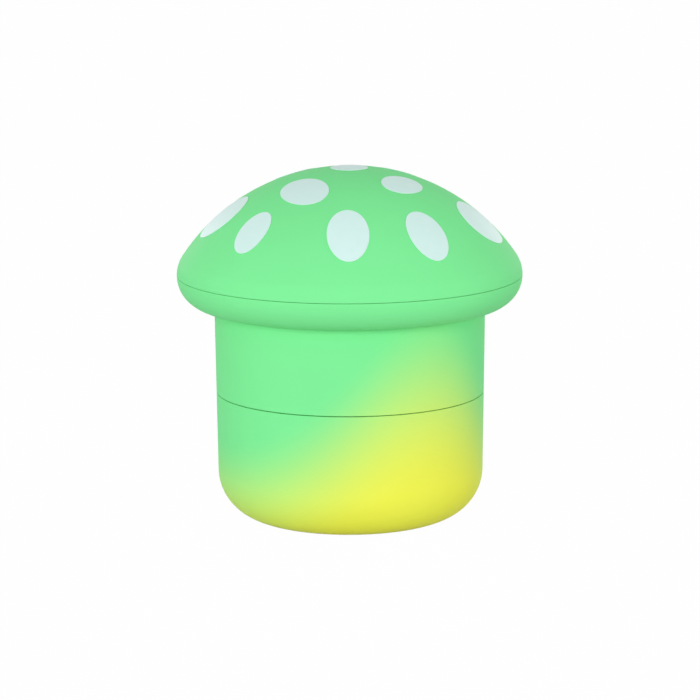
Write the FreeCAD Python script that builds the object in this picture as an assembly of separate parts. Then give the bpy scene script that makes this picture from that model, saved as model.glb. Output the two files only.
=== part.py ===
"""Palm-size herb grinder in the shape of a spotted mushroom.

The domed cap is the lid. It turns on a pilot ring of the grinding chamber, and its toothed disc runs
through the teeth of the chamber's tray. Ground herb drops through the tray's holes onto a sieve that
rests in the cup, and the chamber screws into that cup.

Millimetres, +Z up, origin at the centre of the foot, front towards -Y.
"""

import FreeCAD
import Part

import math
import os

# Driving dimensions: outer form
CUP_H = 23.74                # foot to the cup's rim
CHAMBER_H = 21.8             # chamber shoulder to the chamber's top face
DOME_H = 19.85               # cap's lower face to its crown
STEM_TOP_D = 50.2            # stem diameter under the cap's overhang
STEM_DRAFT_DEG = 0.8         # the stem narrows towards the foot
CAP_OVERHANG = 6.9           # cap rim beyond the top of the stem
RIM_R = 5.83                 # rounding of the cap's rim above the seam
UNDERSIDE_FLAT = 1.1         # level strip between the rim's underside and the stem
CREASE_FILLET = 0.35         # hollow fillet where the stem meets the underside
FOOT_R = 9.15                # rounded foot of the cup
EDGE_R = 0.08                # softened edges along both seams
INNER_EDGE_R = 0.25          # softened edges of the turned pieces inside
PILOT_EDGE_R = 0.36          # lead-in of the pilot ring
FILLET_SHARE = 0.9           # most of its strip that the crease fillet may take

# Driving dimensions: cup and screw joint
CUP_WALL = 1.7               # wall at the cup's mouth
CUP_FLOOR_T = 2.4
FOOT_RECESS_R = 11.0         # shallow recess that leaves a standing ring
FOOT_RECESS_DEPTH = 0.5
SIEVE_DEPTH = 10.7           # cup's rim down to the ledge for the sieve
LEDGE_W = 0.95
THREAD_CLEAR = 0.3           # spigot and sieve in the cup's mouth
SPIGOT_WALL = 1.5
SPIGOT_LEN = 6.0
SPIGOT_CHAMFER = 0.4
WASHER_T = 0.16              # thin washer between the cup's rim and the shoulder
WASHER_INSET = 0.55          # washer edge behind the outer wall
WASHER_CLEAR = 0.2           # washer bore outside the cup's mouth

# Driving dimensions: chamber and tray
BOWL_WALL = 2.0
BOWL_DEPTH = 8.0             # chamber's top face down to the tray
PILOT_H = 4.6                # pilot ring above the chamber's top face
TRAY_T = 2.5
TRAY_FIT = 0.03
LUG_W = 5.0                  # three lugs key the tray into the ledge
LUG_DEPTH = 1.8
LUG_CLEAR = 0.1
LUG_COUNT = 3

# Driving dimensions: glide ring and cap
GLIDE_T = 1.0
GLIDE_W = 2.3
GLIDE_CLEAR = 0.3            # ring and cap skirt around the pilot ring, ring in its recess
CAP_GAP = 0.08               # open seam between cap and chamber
CAP_WALL = 2.2
SKIRT_WALL = 2.2
DISC_CLEAR = 0.4             # toothed disc inside the pilot ring
DISC_RISE = 1.0              # disc's lower face above the chamber's top face
DISC_T = 3.0

# Driving dimensions: teeth, drop holes and magnets
TOOTH_L = 4.4                # length of the diamond around the ring
TOOTH_TIP = 0.72             # tip size as a share of the root
TOOTH_TIP_CLEAR = 1.0        # tooth tips clear of the facing plate
TOOTH_ROOT = 0.4             # root sunk in its plate
LANE_GAP = 1.2               # between neighbouring rings of teeth
WALL_LANE = 0.9              # outermost teeth clear of the bowl
RING_COUNTS = (12, 10, 8, 6)  # from the wall inwards: tray, cap, tray, cap
DROP_HOLE_D = 4.0
OUTER_HOLE_COUNT = 12
INNER_HOLE_COUNT = 6
POST_WALL = 1.8              # round the magnet in its post or hub
MAGNET_D = 8.0
MAGNET_T = 3.0
MAGNET_FIT = 0.03
MAGNET_GAP = 0.8             # between the facing magnets

# Driving dimensions: disc screws, M3 countersunk
SCREW_COUNT = 3
SCREW_FIRST_DEG = 60.0
SCREW_D = 3.0
SCREW_HEAD_D = 5.5
SCREW_HEAD_H = 1.65
SCREW_LEN = 8.0
SCREW_FIT = 0.05
BOSS_WALL = 1.9
BOSS_HOLE_SPARE = 1.0        # screw hole past the screw's tip

# Driving dimensions: sieve
SIEVE_H = 3.0
SIEVE_WALL = 1.2
SIEVE_LIP_W = 1.2
SIEVE_LIP_T = 1.0
SCREEN_T = 0.3
SCREEN_FIT = 0.1
SNAP_T = 0.8
SNAP_W = 1.0
SNAP_FIT = 0.05
SNAP_GAP_DEG = 20.0

# Driving dimensions: printed spots on the dome, a crown spot and two rings
SPOT_T = 0.08
SPOT_LIFT = 0.02             # ink film just off the painted dome
CROWN_SPOT_R = 3.5
SPOT_HALF_W = 3.8            # common spot of the lower ring, across its meridian
SPOT_HALF_L = 5.8            # the same spot along its meridian
# Each spot: tilt from the crown; azimuth from the front, right positive; width and length as shares of the
# common spot's; lean
FRONT_SPOTS = (
    (19.3, 51.6, 1.22, 0.61, 6.0),
    (21.7, -36.4, 1.51, 0.72, -28.5),
    (39.1, -80.9, 1.42, 0.98, 0.0),
    (41.2, -45.4, 0.87, 0.86, 8.0),
    (39.9, -0.6, 1.0, 1.05, 2.4),
    (41.6, 34.5, 1.0, 1.0, -5.6),
    (41.4, 77.7, 1.58, 0.95, 0.0),
)
# Both rings go on round the back with their own spacing and even sizes
UPPER_RING_TILT = 20.5
UPPER_RING_BACK = (140.0, 228.0)
UPPER_RING_SHARES = (1.26, 0.67)
LOWER_RING_TILT = 40.8
LOWER_RING_BACK = (120.0, 160.0, 200.0, 240.0)
LOWER_RING_SHARES = (1.03, 0.97)

# Heights, from the foot up
Z_CUP_RIM = CUP_H
Z_SHOULDER = Z_CUP_RIM + WASHER_T
Z_CHAMBER_TOP = Z_SHOULDER + CHAMBER_H
Z_CAP_FACE = Z_CHAMBER_TOP + CAP_GAP
Z_CROWN = Z_CAP_FACE + DOME_H
Z_SIEVE_SEAT = Z_CUP_RIM - SIEVE_DEPTH
Z_SPIGOT_END = Z_SHOULDER - SPIGOT_LEN
Z_TRAY_TOP = Z_CHAMBER_TOP - BOWL_DEPTH
Z_LEDGE = Z_TRAY_TOP - TRAY_T
Z_PILOT_TOP = Z_CHAMBER_TOP + PILOT_H
Z_GLIDE_SEAT = Z_CAP_FACE - GLIDE_T
Z_DISC_FACE = Z_CHAMBER_TOP + DISC_RISE
Z_DISC_TOP = Z_DISC_FACE + DISC_T
BOWL_HEIGHT = Z_DISC_FACE - Z_TRAY_TOP
Z_MAGNET_MEET = Z_TRAY_TOP + BOWL_HEIGHT / 2

SAME_PLACE = 1e-4            # edges this near a stated place are the ones meant

# Outer form
STEM_TOP_R = STEM_TOP_D / 2
CAP_R = STEM_TOP_R + CAP_OVERHANG
UNDER_R = CAP_OVERHANG - UNDERSIDE_FLAT
Z_CREASE = Z_CHAMBER_TOP - UNDER_R
DRAFT = math.radians(STEM_DRAFT_DEG)
# The crown is one arc about the axis, tangent to the rim's arc
CROWN_R = ((CAP_R - RIM_R) ** 2 + DOME_H ** 2 - RIM_R ** 2) / (2 * (DOME_H - RIM_R))
Z_CROWN_CENTRE = Z_CROWN - CROWN_R
CROWN_HALF_ANGLE = math.degrees(math.atan2(CAP_R - RIM_R, Z_CAP_FACE - Z_CROWN_CENTRE))


def stem_radius(height):
    """Outer radius of the tapering stem at a height."""
    return STEM_TOP_R - (Z_CREASE - height) * math.tan(DRAFT)


# Radii, from the stem's outside inwards
MOUTH_R = stem_radius(Z_CUP_RIM) - CUP_WALL
CUP_BORE_R = MOUTH_R - LEDGE_W
SPIGOT_R = MOUTH_R - THREAD_CLEAR
SPIGOT_BORE_R = SPIGOT_R - SPIGOT_WALL
BOWL_R = STEM_TOP_R - BOWL_WALL
PILOT_R = BOWL_R + BOWL_WALL
GLIDE_BORE_R = PILOT_R + GLIDE_CLEAR
GLIDE_R = GLIDE_BORE_R + GLIDE_W
SKIRT_BORE_R = PILOT_R + GLIDE_CLEAR
SKIRT_R = SKIRT_BORE_R + SKIRT_WALL
DISC_R = BOWL_R - DISC_CLEAR
TRAY_R = BOWL_R - TRAY_FIT

# Rings of teeth share the room between wall and post, alternating between tray and cap
POST_R = MAGNET_D / 2 + POST_WALL
LANE_PITCH = (BOWL_R - WALL_LANE - POST_R) / len(RING_COUNTS)
TOOTH_W = LANE_PITCH - LANE_GAP
RING_RADII = [BOWL_R - WALL_LANE - TOOTH_W / 2 - i * LANE_PITCH for i in range(len(RING_COUNTS))]
TOOTH_H = BOWL_HEIGHT - TOOTH_TIP_CLEAR
SCREW_CIRCLE_R = RING_RADII[2]


class Outline:
    """Closed half section of a turned piece, drawn as (radius, height) from point to point."""

    def __init__(self, radius, height):
        self.start = self.here = (radius, height)
        self.edges = []

    def point(self, place):
        return FreeCAD.Vector(place[0], 0, place[1])

    def line(self, radius, height):
        """Straight to a point."""
        self.edges.append(Part.LineSegment(self.point(self.here), self.point((radius, height))).toShape())
        self.here = (radius, height)
        return self

    def bend(self, centre, degrees):
        """Round a centre, anticlockwise for positive degrees with radius to the right and height up."""
        places = [self.turned(centre, degrees * share) for share in (0.5, 1.0)]
        arc = Part.Arc(self.point(self.here), self.point(places[0]), self.point(places[1]))
        self.edges.append(arc.toShape())
        self.here = places[1]
        return self

    def turned(self, centre, degrees):
        """Where the present point goes when turned about a centre."""
        r, z = self.here[0] - centre[0], self.here[1] - centre[1]
        c, s = math.cos(math.radians(degrees)), math.sin(math.radians(degrees))
        return centre[0] + r * c - z * s, centre[1] + r * s + z * c

    def solid(self):
        """The section turned a full circle about Z."""
        if math.dist(self.start, self.here) > SAME_PLACE:
            self.line(*self.start)
        face = Part.Face(Part.Wire(Part.__sortEdges__(self.edges)))
        return face.revolve(FreeCAD.Vector(0, 0, 0), FreeCAD.Vector(0, 0, 1), 360)


def ring(bore_radius, radius, bottom, top):
    """Plain ring, or a disc where the bore radius is 0."""
    section = Outline(bore_radius, bottom).line(radius, bottom).line(radius, top).line(bore_radius, top)
    return section.solid()


def cylinder(radius, bottom, top, place=(0, 0)):
    """Upright cylinder at a place in plan."""
    return Part.makeCylinder(radius, top - bottom, FreeCAD.Vector(place[0], place[1], bottom))


def polar(radius, degrees):
    """Plan position; 0 degrees is the front and angles grow towards the right."""
    angle = math.radians(degrees)
    return radius * math.sin(angle), -radius * math.cos(angle)


def around(count, offset=0.0):
    """Evenly spaced angles round a circle."""
    return [offset + 360.0 * i / count for i in range(count)]


def soften(shape, places, radius=EDGE_R):
    """Rounds the circular edges at the given (radius, height) places."""
    def wanted(edge):
        if edge.Degenerated or not isinstance(edge.Curve, Part.Circle):
            return False
        circle = (edge.Curve.Radius, edge.Curve.Center.z)
        return any(math.dist(circle, place) < SAME_PLACE for place in places)
    return shape.makeFillet(radius, [edge for edge in shape.Edges if wanted(edge)])


def one_solid(shape):
    """The single solid of a joined shape, with its split faces merged."""
    return shape.removeSplitter().Solids[0]


def cup_shell():
    """Lower half of the stem: rounded foot, catch space, sieve ledge and plain mouth for the screw joint."""
    arc_end = FOOT_R * (1 - math.sin(DRAFT))
    foot_centre_r = stem_radius(arc_end) - FOOT_R * math.cos(DRAFT)
    rim_r = stem_radius(Z_CUP_RIM)
    inner_r = FOOT_R - CUP_FLOOR_T
    inner_centre = (CUP_BORE_R - inner_r, CUP_FLOOR_T + inner_r)
    section = Outline(0, FOOT_RECESS_DEPTH).line(FOOT_RECESS_R, FOOT_RECESS_DEPTH)
    section.line(FOOT_RECESS_R + FOOT_RECESS_DEPTH, 0).line(foot_centre_r, 0)
    section.bend((foot_centre_r, FOOT_R), 90 - STEM_DRAFT_DEG).line(rim_r, Z_CUP_RIM)
    section.line(MOUTH_R, Z_CUP_RIM).line(MOUTH_R, Z_SIEVE_SEAT).line(CUP_BORE_R, Z_SIEVE_SEAT)
    section.line(CUP_BORE_R, inner_centre[1]).bend(inner_centre, -90).line(0, CUP_FLOOR_T)
    return soften(section.solid(), [(rim_r, Z_CUP_RIM), (MOUTH_R, Z_CUP_RIM)])


def sieve_ring():
    """Drop-in ring; its lip stops the screen from above and its bore takes the snap ring."""
    top = Z_SIEVE_SEAT + SIEVE_H
    bore_r = SPIGOT_R - SIEVE_WALL
    section = Outline(bore_r, Z_SIEVE_SEAT).line(SPIGOT_R, Z_SIEVE_SEAT).line(SPIGOT_R, top)
    section.line(bore_r - SIEVE_LIP_W, top).line(bore_r - SIEVE_LIP_W, top - SIEVE_LIP_T)
    section.line(bore_r, top - SIEVE_LIP_T)
    return soften(section.solid(), [(SPIGOT_R, top), (bore_r - SIEVE_LIP_W, top)], INNER_EDGE_R)


def sieve_screen():
    """Fine woven screen, as a plain sheet under the lip."""
    top = Z_SIEVE_SEAT + SIEVE_H - SIEVE_LIP_T
    return cylinder(SPIGOT_R - SIEVE_WALL - SCREEN_FIT, top - SCREEN_T, top)


def sieve_snap_ring():
    """Open spring ring that holds the screen up against the lip."""
    top = Z_SIEVE_SEAT + SIEVE_H - SIEVE_LIP_T - SCREEN_T
    radius = SPIGOT_R - SIEVE_WALL - SNAP_FIT
    section = Outline(radius - SNAP_W, top - SNAP_T).line(radius, top - SNAP_T).line(radius, top)
    section.line(radius - SNAP_W, top).line(radius - SNAP_W, top - SNAP_T)
    face = Part.Face(Part.Wire(section.edges))
    open_ring = face.revolve(FreeCAD.Vector(0, 0, 0), FreeCAD.Vector(0, 0, 1), 360 - SNAP_GAP_DEG)
    open_ring.rotate(FreeCAD.Vector(0, 0, 0), FreeCAD.Vector(0, 0, 1), SNAP_GAP_DEG / 2)
    return open_ring


def stem_washer():
    """Thin washer on the cup's rim; its edge lies back in the seam."""
    return ring(MOUTH_R + WASHER_CLEAR, stem_radius(Z_CUP_RIM) - WASHER_INSET, Z_CUP_RIM, Z_SHOULDER)


def ledge_lugs(width, depth, inner_r, outer_r):
    """Three blocks under the tray, used for the tray's lugs and the slots that they drop into."""
    band = ring(inner_r, outer_r, Z_LEDGE - depth, Z_LEDGE)
    blocks = []
    for angle in around(LUG_COUNT):
        block = Part.makeBox(width, 2 * outer_r, depth, FreeCAD.Vector(-width / 2, 0, Z_LEDGE - depth))
        block.rotate(FreeCAD.Vector(0, 0, 0), FreeCAD.Vector(0, 0, 1), angle)
        blocks.append(block.common(band))
    return blocks


def chamber_shell():
    """Cap underside, upper stem, pilot ring for the cap, tray ledge and spigot in one casting."""
    recess_r = GLIDE_R + GLIDE_CLEAR
    section = Outline(SPIGOT_BORE_R, Z_SPIGOT_END).line(SPIGOT_R - SPIGOT_CHAMFER, Z_SPIGOT_END)
    section.line(SPIGOT_R, Z_SPIGOT_END + SPIGOT_CHAMFER).line(SPIGOT_R, Z_SHOULDER)
    section.line(stem_radius(Z_SHOULDER), Z_SHOULDER).line(STEM_TOP_R, Z_CREASE)
    section.line(CAP_R - UNDER_R, Z_CREASE).bend((CAP_R - UNDER_R, Z_CHAMBER_TOP), 90)
    section.line(recess_r, Z_CHAMBER_TOP).line(recess_r, Z_GLIDE_SEAT).line(PILOT_R, Z_GLIDE_SEAT)
    section.line(PILOT_R, Z_PILOT_TOP).line(BOWL_R, Z_PILOT_TOP).line(BOWL_R, Z_LEDGE)
    section.line(SPIGOT_BORE_R, Z_LEDGE)
    shell = soften(section.solid(), [(STEM_TOP_R, Z_CREASE)], min(CREASE_FILLET, FILLET_SHARE * UNDERSIDE_FLAT))
    shell = soften(shell, [(stem_radius(Z_SHOULDER), Z_SHOULDER), (CAP_R, Z_CHAMBER_TOP)])
    shell = soften(shell, [(PILOT_R, Z_PILOT_TOP), (BOWL_R, Z_PILOT_TOP)], PILOT_EDGE_R)
    slots = ledge_lugs(LUG_W, LUG_DEPTH + LUG_CLEAR, SPIGOT_BORE_R - LUG_CLEAR, BOWL_R)
    return one_solid(shell.cut(Part.makeCompound(slots)))


def diamond(scale, height):
    """Diamond outline of a tooth at a height above its plate, long way round the ring."""
    half_w, half_l = scale * TOOTH_W / 2, scale * TOOTH_L / 2
    corners = [(0, -half_w), (half_l, 0), (0, half_w), (-half_l, 0), (0, -half_w)]
    return Part.makePolygon([FreeCAD.Vector(x, y, height) for x, y in corners])


def tooth():
    """One diamond tooth standing on its plate at z 0, root included."""
    return Part.makeLoft([diamond(1.0, -TOOTH_ROOT), diamond(1.0, 0), diamond(TOOTH_TIP, TOOTH_H)], True, True)


def ring_of_teeth(radius, count, plate_z, upward):
    """Teeth on one ring, standing up from a plate or hanging down from it, with a gap at the front."""
    teeth = []
    for angle in around(count, 180.0 / count):
        one = tooth()
        if not upward:
            one.rotate(FreeCAD.Vector(0, 0, 0), FreeCAD.Vector(1, 0, 0), 180)
        one.rotate(FreeCAD.Vector(0, 0, 0), FreeCAD.Vector(0, 0, 1), angle)
        x, y = polar(radius, angle)
        one.translate(FreeCAD.Vector(x, y, plate_z))
        teeth.append(one)
    return teeth


def drop_holes():
    """Through holes in the tray, in the lanes that the cap's teeth sweep."""
    rows = ((RING_RADII[1], OUTER_HOLE_COUNT), (RING_RADII[3], INNER_HOLE_COUNT))
    return [
        cylinder(DROP_HOLE_D / 2, Z_LEDGE - TRAY_T, Z_TRAY_TOP + TRAY_T, polar(radius, angle))
        for radius, count in rows
        for angle in around(count, 180.0 / count)
    ]


def tray_disc():
    """Toothed tray: plate with drop holes, keyed lugs and a post for its magnet."""
    post_top = Z_MAGNET_MEET - MAGNET_GAP / 2
    plate = ring(0, TRAY_R, Z_LEDGE, Z_TRAY_TOP).cut(Part.makeCompound(drop_holes()))
    lugs = ledge_lugs(LUG_W - 2 * LUG_CLEAR, LUG_DEPTH, SPIGOT_BORE_R + LUG_CLEAR, TRAY_R)
    post = cylinder(POST_R, Z_TRAY_TOP - TOOTH_ROOT, post_top)
    teeth = ring_of_teeth(RING_RADII[0], RING_COUNTS[0], Z_TRAY_TOP, True)
    teeth += ring_of_teeth(RING_RADII[2], RING_COUNTS[2], Z_TRAY_TOP, True)
    disc = plate.multiFuse([post, *teeth, *lugs])
    pocket = cylinder(MAGNET_D / 2 + MAGNET_FIT, post_top - MAGNET_T, post_top)
    return one_solid(disc.cut(pocket))


def tray_magnet():
    """Disc magnet flush in the tray's post."""
    top = Z_MAGNET_MEET - MAGNET_GAP / 2
    return soften(cylinder(MAGNET_D / 2, top - MAGNET_T, top), [(MAGNET_D / 2, top)], INNER_EDGE_R)


def glide_ring():
    """Slippery ring around the pilot that carries the cap's skirt."""
    return ring(GLIDE_BORE_R, GLIDE_R, Z_GLIDE_SEAT, Z_CAP_FACE)


def screw_places():
    """Plan positions of the disc screws."""
    return [polar(SCREW_CIRCLE_R, angle) for angle in around(SCREW_COUNT, SCREW_FIRST_DEG)]


def cap_shell():
    """Hollow dome with a turning skirt inside its rim and bosses for the toothed disc."""
    rim_centre = (CAP_R - RIM_R, Z_CAP_FACE)
    inner_crown_r = CROWN_R - CAP_WALL
    skirt_top = Z_CROWN_CENTRE + math.sqrt(inner_crown_r ** 2 - SKIRT_BORE_R ** 2)
    skirt_angle = math.degrees(math.atan2(SKIRT_BORE_R, skirt_top - Z_CROWN_CENTRE))
    inner_rim_r = RIM_R - CAP_WALL
    pocket_rise = math.sqrt(inner_rim_r ** 2 - (SKIRT_R - rim_centre[0]) ** 2)
    pocket_angle = math.degrees(math.atan2(pocket_rise, SKIRT_R - rim_centre[0]))
    section = Outline(CAP_R, Z_CAP_FACE).bend(rim_centre, 90 - CROWN_HALF_ANGLE)
    section.bend((0, Z_CROWN_CENTRE), CROWN_HALF_ANGLE).line(0, Z_CROWN - CAP_WALL)
    section.bend((0, Z_CROWN_CENTRE), -skirt_angle).line(SKIRT_BORE_R, Z_CAP_FACE)
    section.line(SKIRT_R, Z_CAP_FACE).line(SKIRT_R, Z_CAP_FACE + pocket_rise)
    section.bend(rim_centre, -pocket_angle)
    dome = soften(section.solid(), [(CAP_R, Z_CAP_FACE)])
    into_wall = Part.makeSphere(CROWN_R - CAP_WALL / 2, FreeCAD.Vector(0, 0, Z_CROWN_CENTRE))
    bosses, holes = [], []
    for place in screw_places():
        boss = cylinder(SCREW_D / 2 + BOSS_WALL, Z_DISC_TOP, Z_CROWN, place)
        bosses.append(boss.common(into_wall))
        hole_end = Z_DISC_FACE + SCREW_LEN + BOSS_HOLE_SPARE
        holes.append(cylinder(SCREW_D / 2 + SCREW_FIT, Z_DISC_TOP, hole_end, place))
    return one_solid(dome.multiFuse(bosses).cut(Part.makeCompound(holes)))


def countersunk(place, spare):
    """Countersunk screw form, flush with the disc's lower face."""
    head_r, shank_r = SCREW_HEAD_D / 2 + spare, SCREW_D / 2 + spare
    tip = Z_DISC_FACE + SCREW_LEN
    section = Outline(0, Z_DISC_FACE).line(head_r, Z_DISC_FACE).line(shank_r, Z_DISC_FACE + SCREW_HEAD_H)
    section.line(shank_r, tip).line(0, tip)
    screw = section.solid()
    screw.translate(FreeCAD.Vector(place[0], place[1], 0))
    return screw


def cap_tooth_disc():
    """Toothed disc under the dome: plate, hub with magnet pocket, hanging teeth, countersunk holes."""
    hub_end = Z_MAGNET_MEET + MAGNET_GAP / 2
    plate = ring(0, DISC_R, Z_DISC_FACE, Z_DISC_TOP)
    hub = cylinder(POST_R, hub_end, Z_DISC_FACE + TOOTH_ROOT)
    teeth = ring_of_teeth(RING_RADII[1], RING_COUNTS[1], Z_DISC_FACE, False)
    teeth += ring_of_teeth(RING_RADII[3], RING_COUNTS[3], Z_DISC_FACE, False)
    pocket = cylinder(MAGNET_D / 2 + MAGNET_FIT, hub_end, hub_end + MAGNET_T)
    holes = [countersunk(place, SCREW_FIT) for place in screw_places()]
    return one_solid(plate.multiFuse([hub, *teeth]).cut(Part.makeCompound([pocket, *holes])))


def cap_disc_screws():
    """Three countersunk screws that hold the toothed disc to the dome's bosses."""
    return Part.makeCompound([countersunk(place, 0) for place in screw_places()])


def cap_magnet():
    """Disc magnet flush in the hub of the toothed disc."""
    bottom = Z_MAGNET_MEET + MAGNET_GAP / 2
    return soften(cylinder(MAGNET_D / 2, bottom, bottom + MAGNET_T), [(MAGNET_D / 2, bottom)], INNER_EDGE_R)


def spot(tilt, azimuth, half_width, half_length, lean):
    """One printed spot: an oval film on the crown, made at the crown's top and swung to its place."""
    centre = FreeCAD.Vector(0, 0, 0)
    right, up = FreeCAD.Vector(1, 0, 0), FreeCAD.Vector(0, 0, 1)
    oval = Part.Ellipse(centre, max(half_width, half_length), min(half_width, half_length))
    column = Part.Face(Part.Wire(oval.toShape())).extrude(up * (2 * CROWN_R))
    inner = Part.makeSphere(CROWN_R + SPOT_LIFT, centre, right)
    outer = Part.makeSphere(CROWN_R + SPOT_LIFT + SPOT_T, centre, right)
    film = column.common(outer).cut(inner).Solids[0]
    film.rotate(centre, up, lean if half_width > half_length else lean + 90)
    film.rotate(centre, right, tilt)
    film.rotate(centre, up, azimuth)
    film.translate(up * Z_CROWN_CENTRE)
    return film


def cap_spots():
    """All printed spots: the crown's, those seen from the front, and the rings' run round the back."""
    ovals = list(FRONT_SPOTS)
    ovals += [(UPPER_RING_TILT, azimuth, *UPPER_RING_SHARES, 0.0) for azimuth in UPPER_RING_BACK]
    ovals += [(LOWER_RING_TILT, azimuth, *LOWER_RING_SHARES, 0.0) for azimuth in LOWER_RING_BACK]
    films = [spot(0.0, 0.0, CROWN_SPOT_R, CROWN_SPOT_R, 0.0)]
    for tilt, azimuth, width, length, lean in ovals:
        films.append(spot(tilt, azimuth, width * SPOT_HALF_W, length * SPOT_HALF_L, lean))
    return Part.makeCompound(films)


PIECES = (
    cup_shell, sieve_ring, sieve_screen, sieve_snap_ring, stem_washer, chamber_shell, tray_disc,
    tray_magnet, glide_ring, cap_shell, cap_tooth_disc, cap_disc_screws, cap_magnet, cap_spots,
)

os.makedirs("parts", exist_ok=True)
for piece in PIECES:
    shape = piece()
    if not shape.isValid():
        raise ValueError(piece.__name__ + " is not a valid solid")
    shape.exportStep("parts/" + piece.__name__ + ".step")
    print(piece.__name__, len(shape.Solids), "solids,", round(shape.Volume), "mm3")
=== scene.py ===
"""Looks of a palm-size herb grinder in the shape of a spotted mushroom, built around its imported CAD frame.

Sizes are millimetres and become metres where a mesh is made. +Z is up and the front faces -Y. Angles in
plan start at the front and grow towards the right.
"""

import logging
import math
from contextlib import contextmanager
from dataclasses import dataclass
from enum import Enum
from functools import cache
from typing import Any, Callable, Iterator

import bpy
from mathutils import Matrix, Vector

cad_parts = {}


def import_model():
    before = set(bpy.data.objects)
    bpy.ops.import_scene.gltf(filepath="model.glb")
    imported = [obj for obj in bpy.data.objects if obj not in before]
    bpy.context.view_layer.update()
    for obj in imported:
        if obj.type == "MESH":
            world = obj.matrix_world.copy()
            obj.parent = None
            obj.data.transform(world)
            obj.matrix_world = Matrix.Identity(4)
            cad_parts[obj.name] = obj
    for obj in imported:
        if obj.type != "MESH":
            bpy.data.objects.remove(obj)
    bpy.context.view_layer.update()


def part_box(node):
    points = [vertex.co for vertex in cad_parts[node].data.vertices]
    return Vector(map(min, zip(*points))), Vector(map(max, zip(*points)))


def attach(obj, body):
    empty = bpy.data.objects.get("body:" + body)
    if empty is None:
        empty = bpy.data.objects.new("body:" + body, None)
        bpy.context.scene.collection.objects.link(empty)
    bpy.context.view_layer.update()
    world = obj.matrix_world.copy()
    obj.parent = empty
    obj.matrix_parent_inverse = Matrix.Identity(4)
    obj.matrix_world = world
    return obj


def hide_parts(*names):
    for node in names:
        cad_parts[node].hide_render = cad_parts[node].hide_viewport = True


LOG = logging.getLogger("grinder")

MM = 0.001
FULL_TURN = 360.0
HALF_TURN = 180.0
QUARTER_TURN = 90.0
ROUND_STEPS = 160          # faces round a turned piece
CORNER_STEPS = 5           # faces round a softened corner
MERGE_GAP = 1e-7           # metres within which points are one
SLIVER = 1e-6              # metres under which a finished piece's edge is dissolved
SMOOTH_BELOW = 32.0        # edges flatter than this shade smooth
BARE_MARK = "bare"         # face mark: the paint doesn't reach here

Color = tuple[float, float, float, float]
Links = dict[str | int, Any]


class Body(Enum):
    """Moving bodies of the frame."""

    CUP = "cup"
    SIEVE = "sieve"
    WASHER = "stem_washer"
    CHAMBER = "chamber"
    GLIDE = "glide_ring"
    CAP = "cap"


class Slot(Enum):
    """Material slots of the record."""

    GREEN_PAINT = "green_paint"
    YELLOW_PAINT = "yellow_paint"
    WHITE_INK = "white_ink"
    TOOTH_METAL = "tooth_metal"
    SIEVE_METAL = "sieve_metal"
    SCREEN_STEEL = "screen_steel"
    SCREW_STEEL = "screw_steel"
    MAGNET_NICKEL = "magnet_nickel"
    NYLON = "nylon"
    WASHER_RUBBER = "washer_rubber"


class Shaping(Enum):
    """Ways in which one solid changes another."""

    ADD = "UNION"
    CUT = "DIFFERENCE"


@dataclass(frozen=True)
class Extent:
    """Outer radius and height span of a CAD node."""

    radius: float
    bottom: float
    top: float

    @classmethod
    def of(cls, node: str) -> "Extent":
        """Reads a node's extent from the frame.

        Args:
            node: Name of the CAD node.

        Returns:
            Its extent, to a hundredth of a millimetre.
        """
        low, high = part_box(node)
        return cls(round(high.x / MM, 2), round(low.z / MM, 2), round(high.z / MM, 2))


def in_plan(degrees: float, radius: float, height: float = 0.0) -> Matrix:
    """Gives the place of something that stands at the front when it is moved round the axis.

    Args:
        degrees: Angle from the front, growing towards the right.
        radius: Distance from the axis.
        height: Height above the floor.

    Returns:
        The matrix that carries it from the origin to its place, in metres.
    """
    turn = Matrix.Rotation(math.radians(degrees), 4, "Z")
    return turn @ Matrix.Translation((0.0, -radius * MM, height * MM))


def around(count: int) -> list[float]:
    """Gives even angles round a circle with a gap at the front.

    Args:
        count: How many places there are.

    Returns:
        The angles in degrees.
    """
    return [(place + 0.5) * FULL_TURN / count for place in range(count)]


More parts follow.
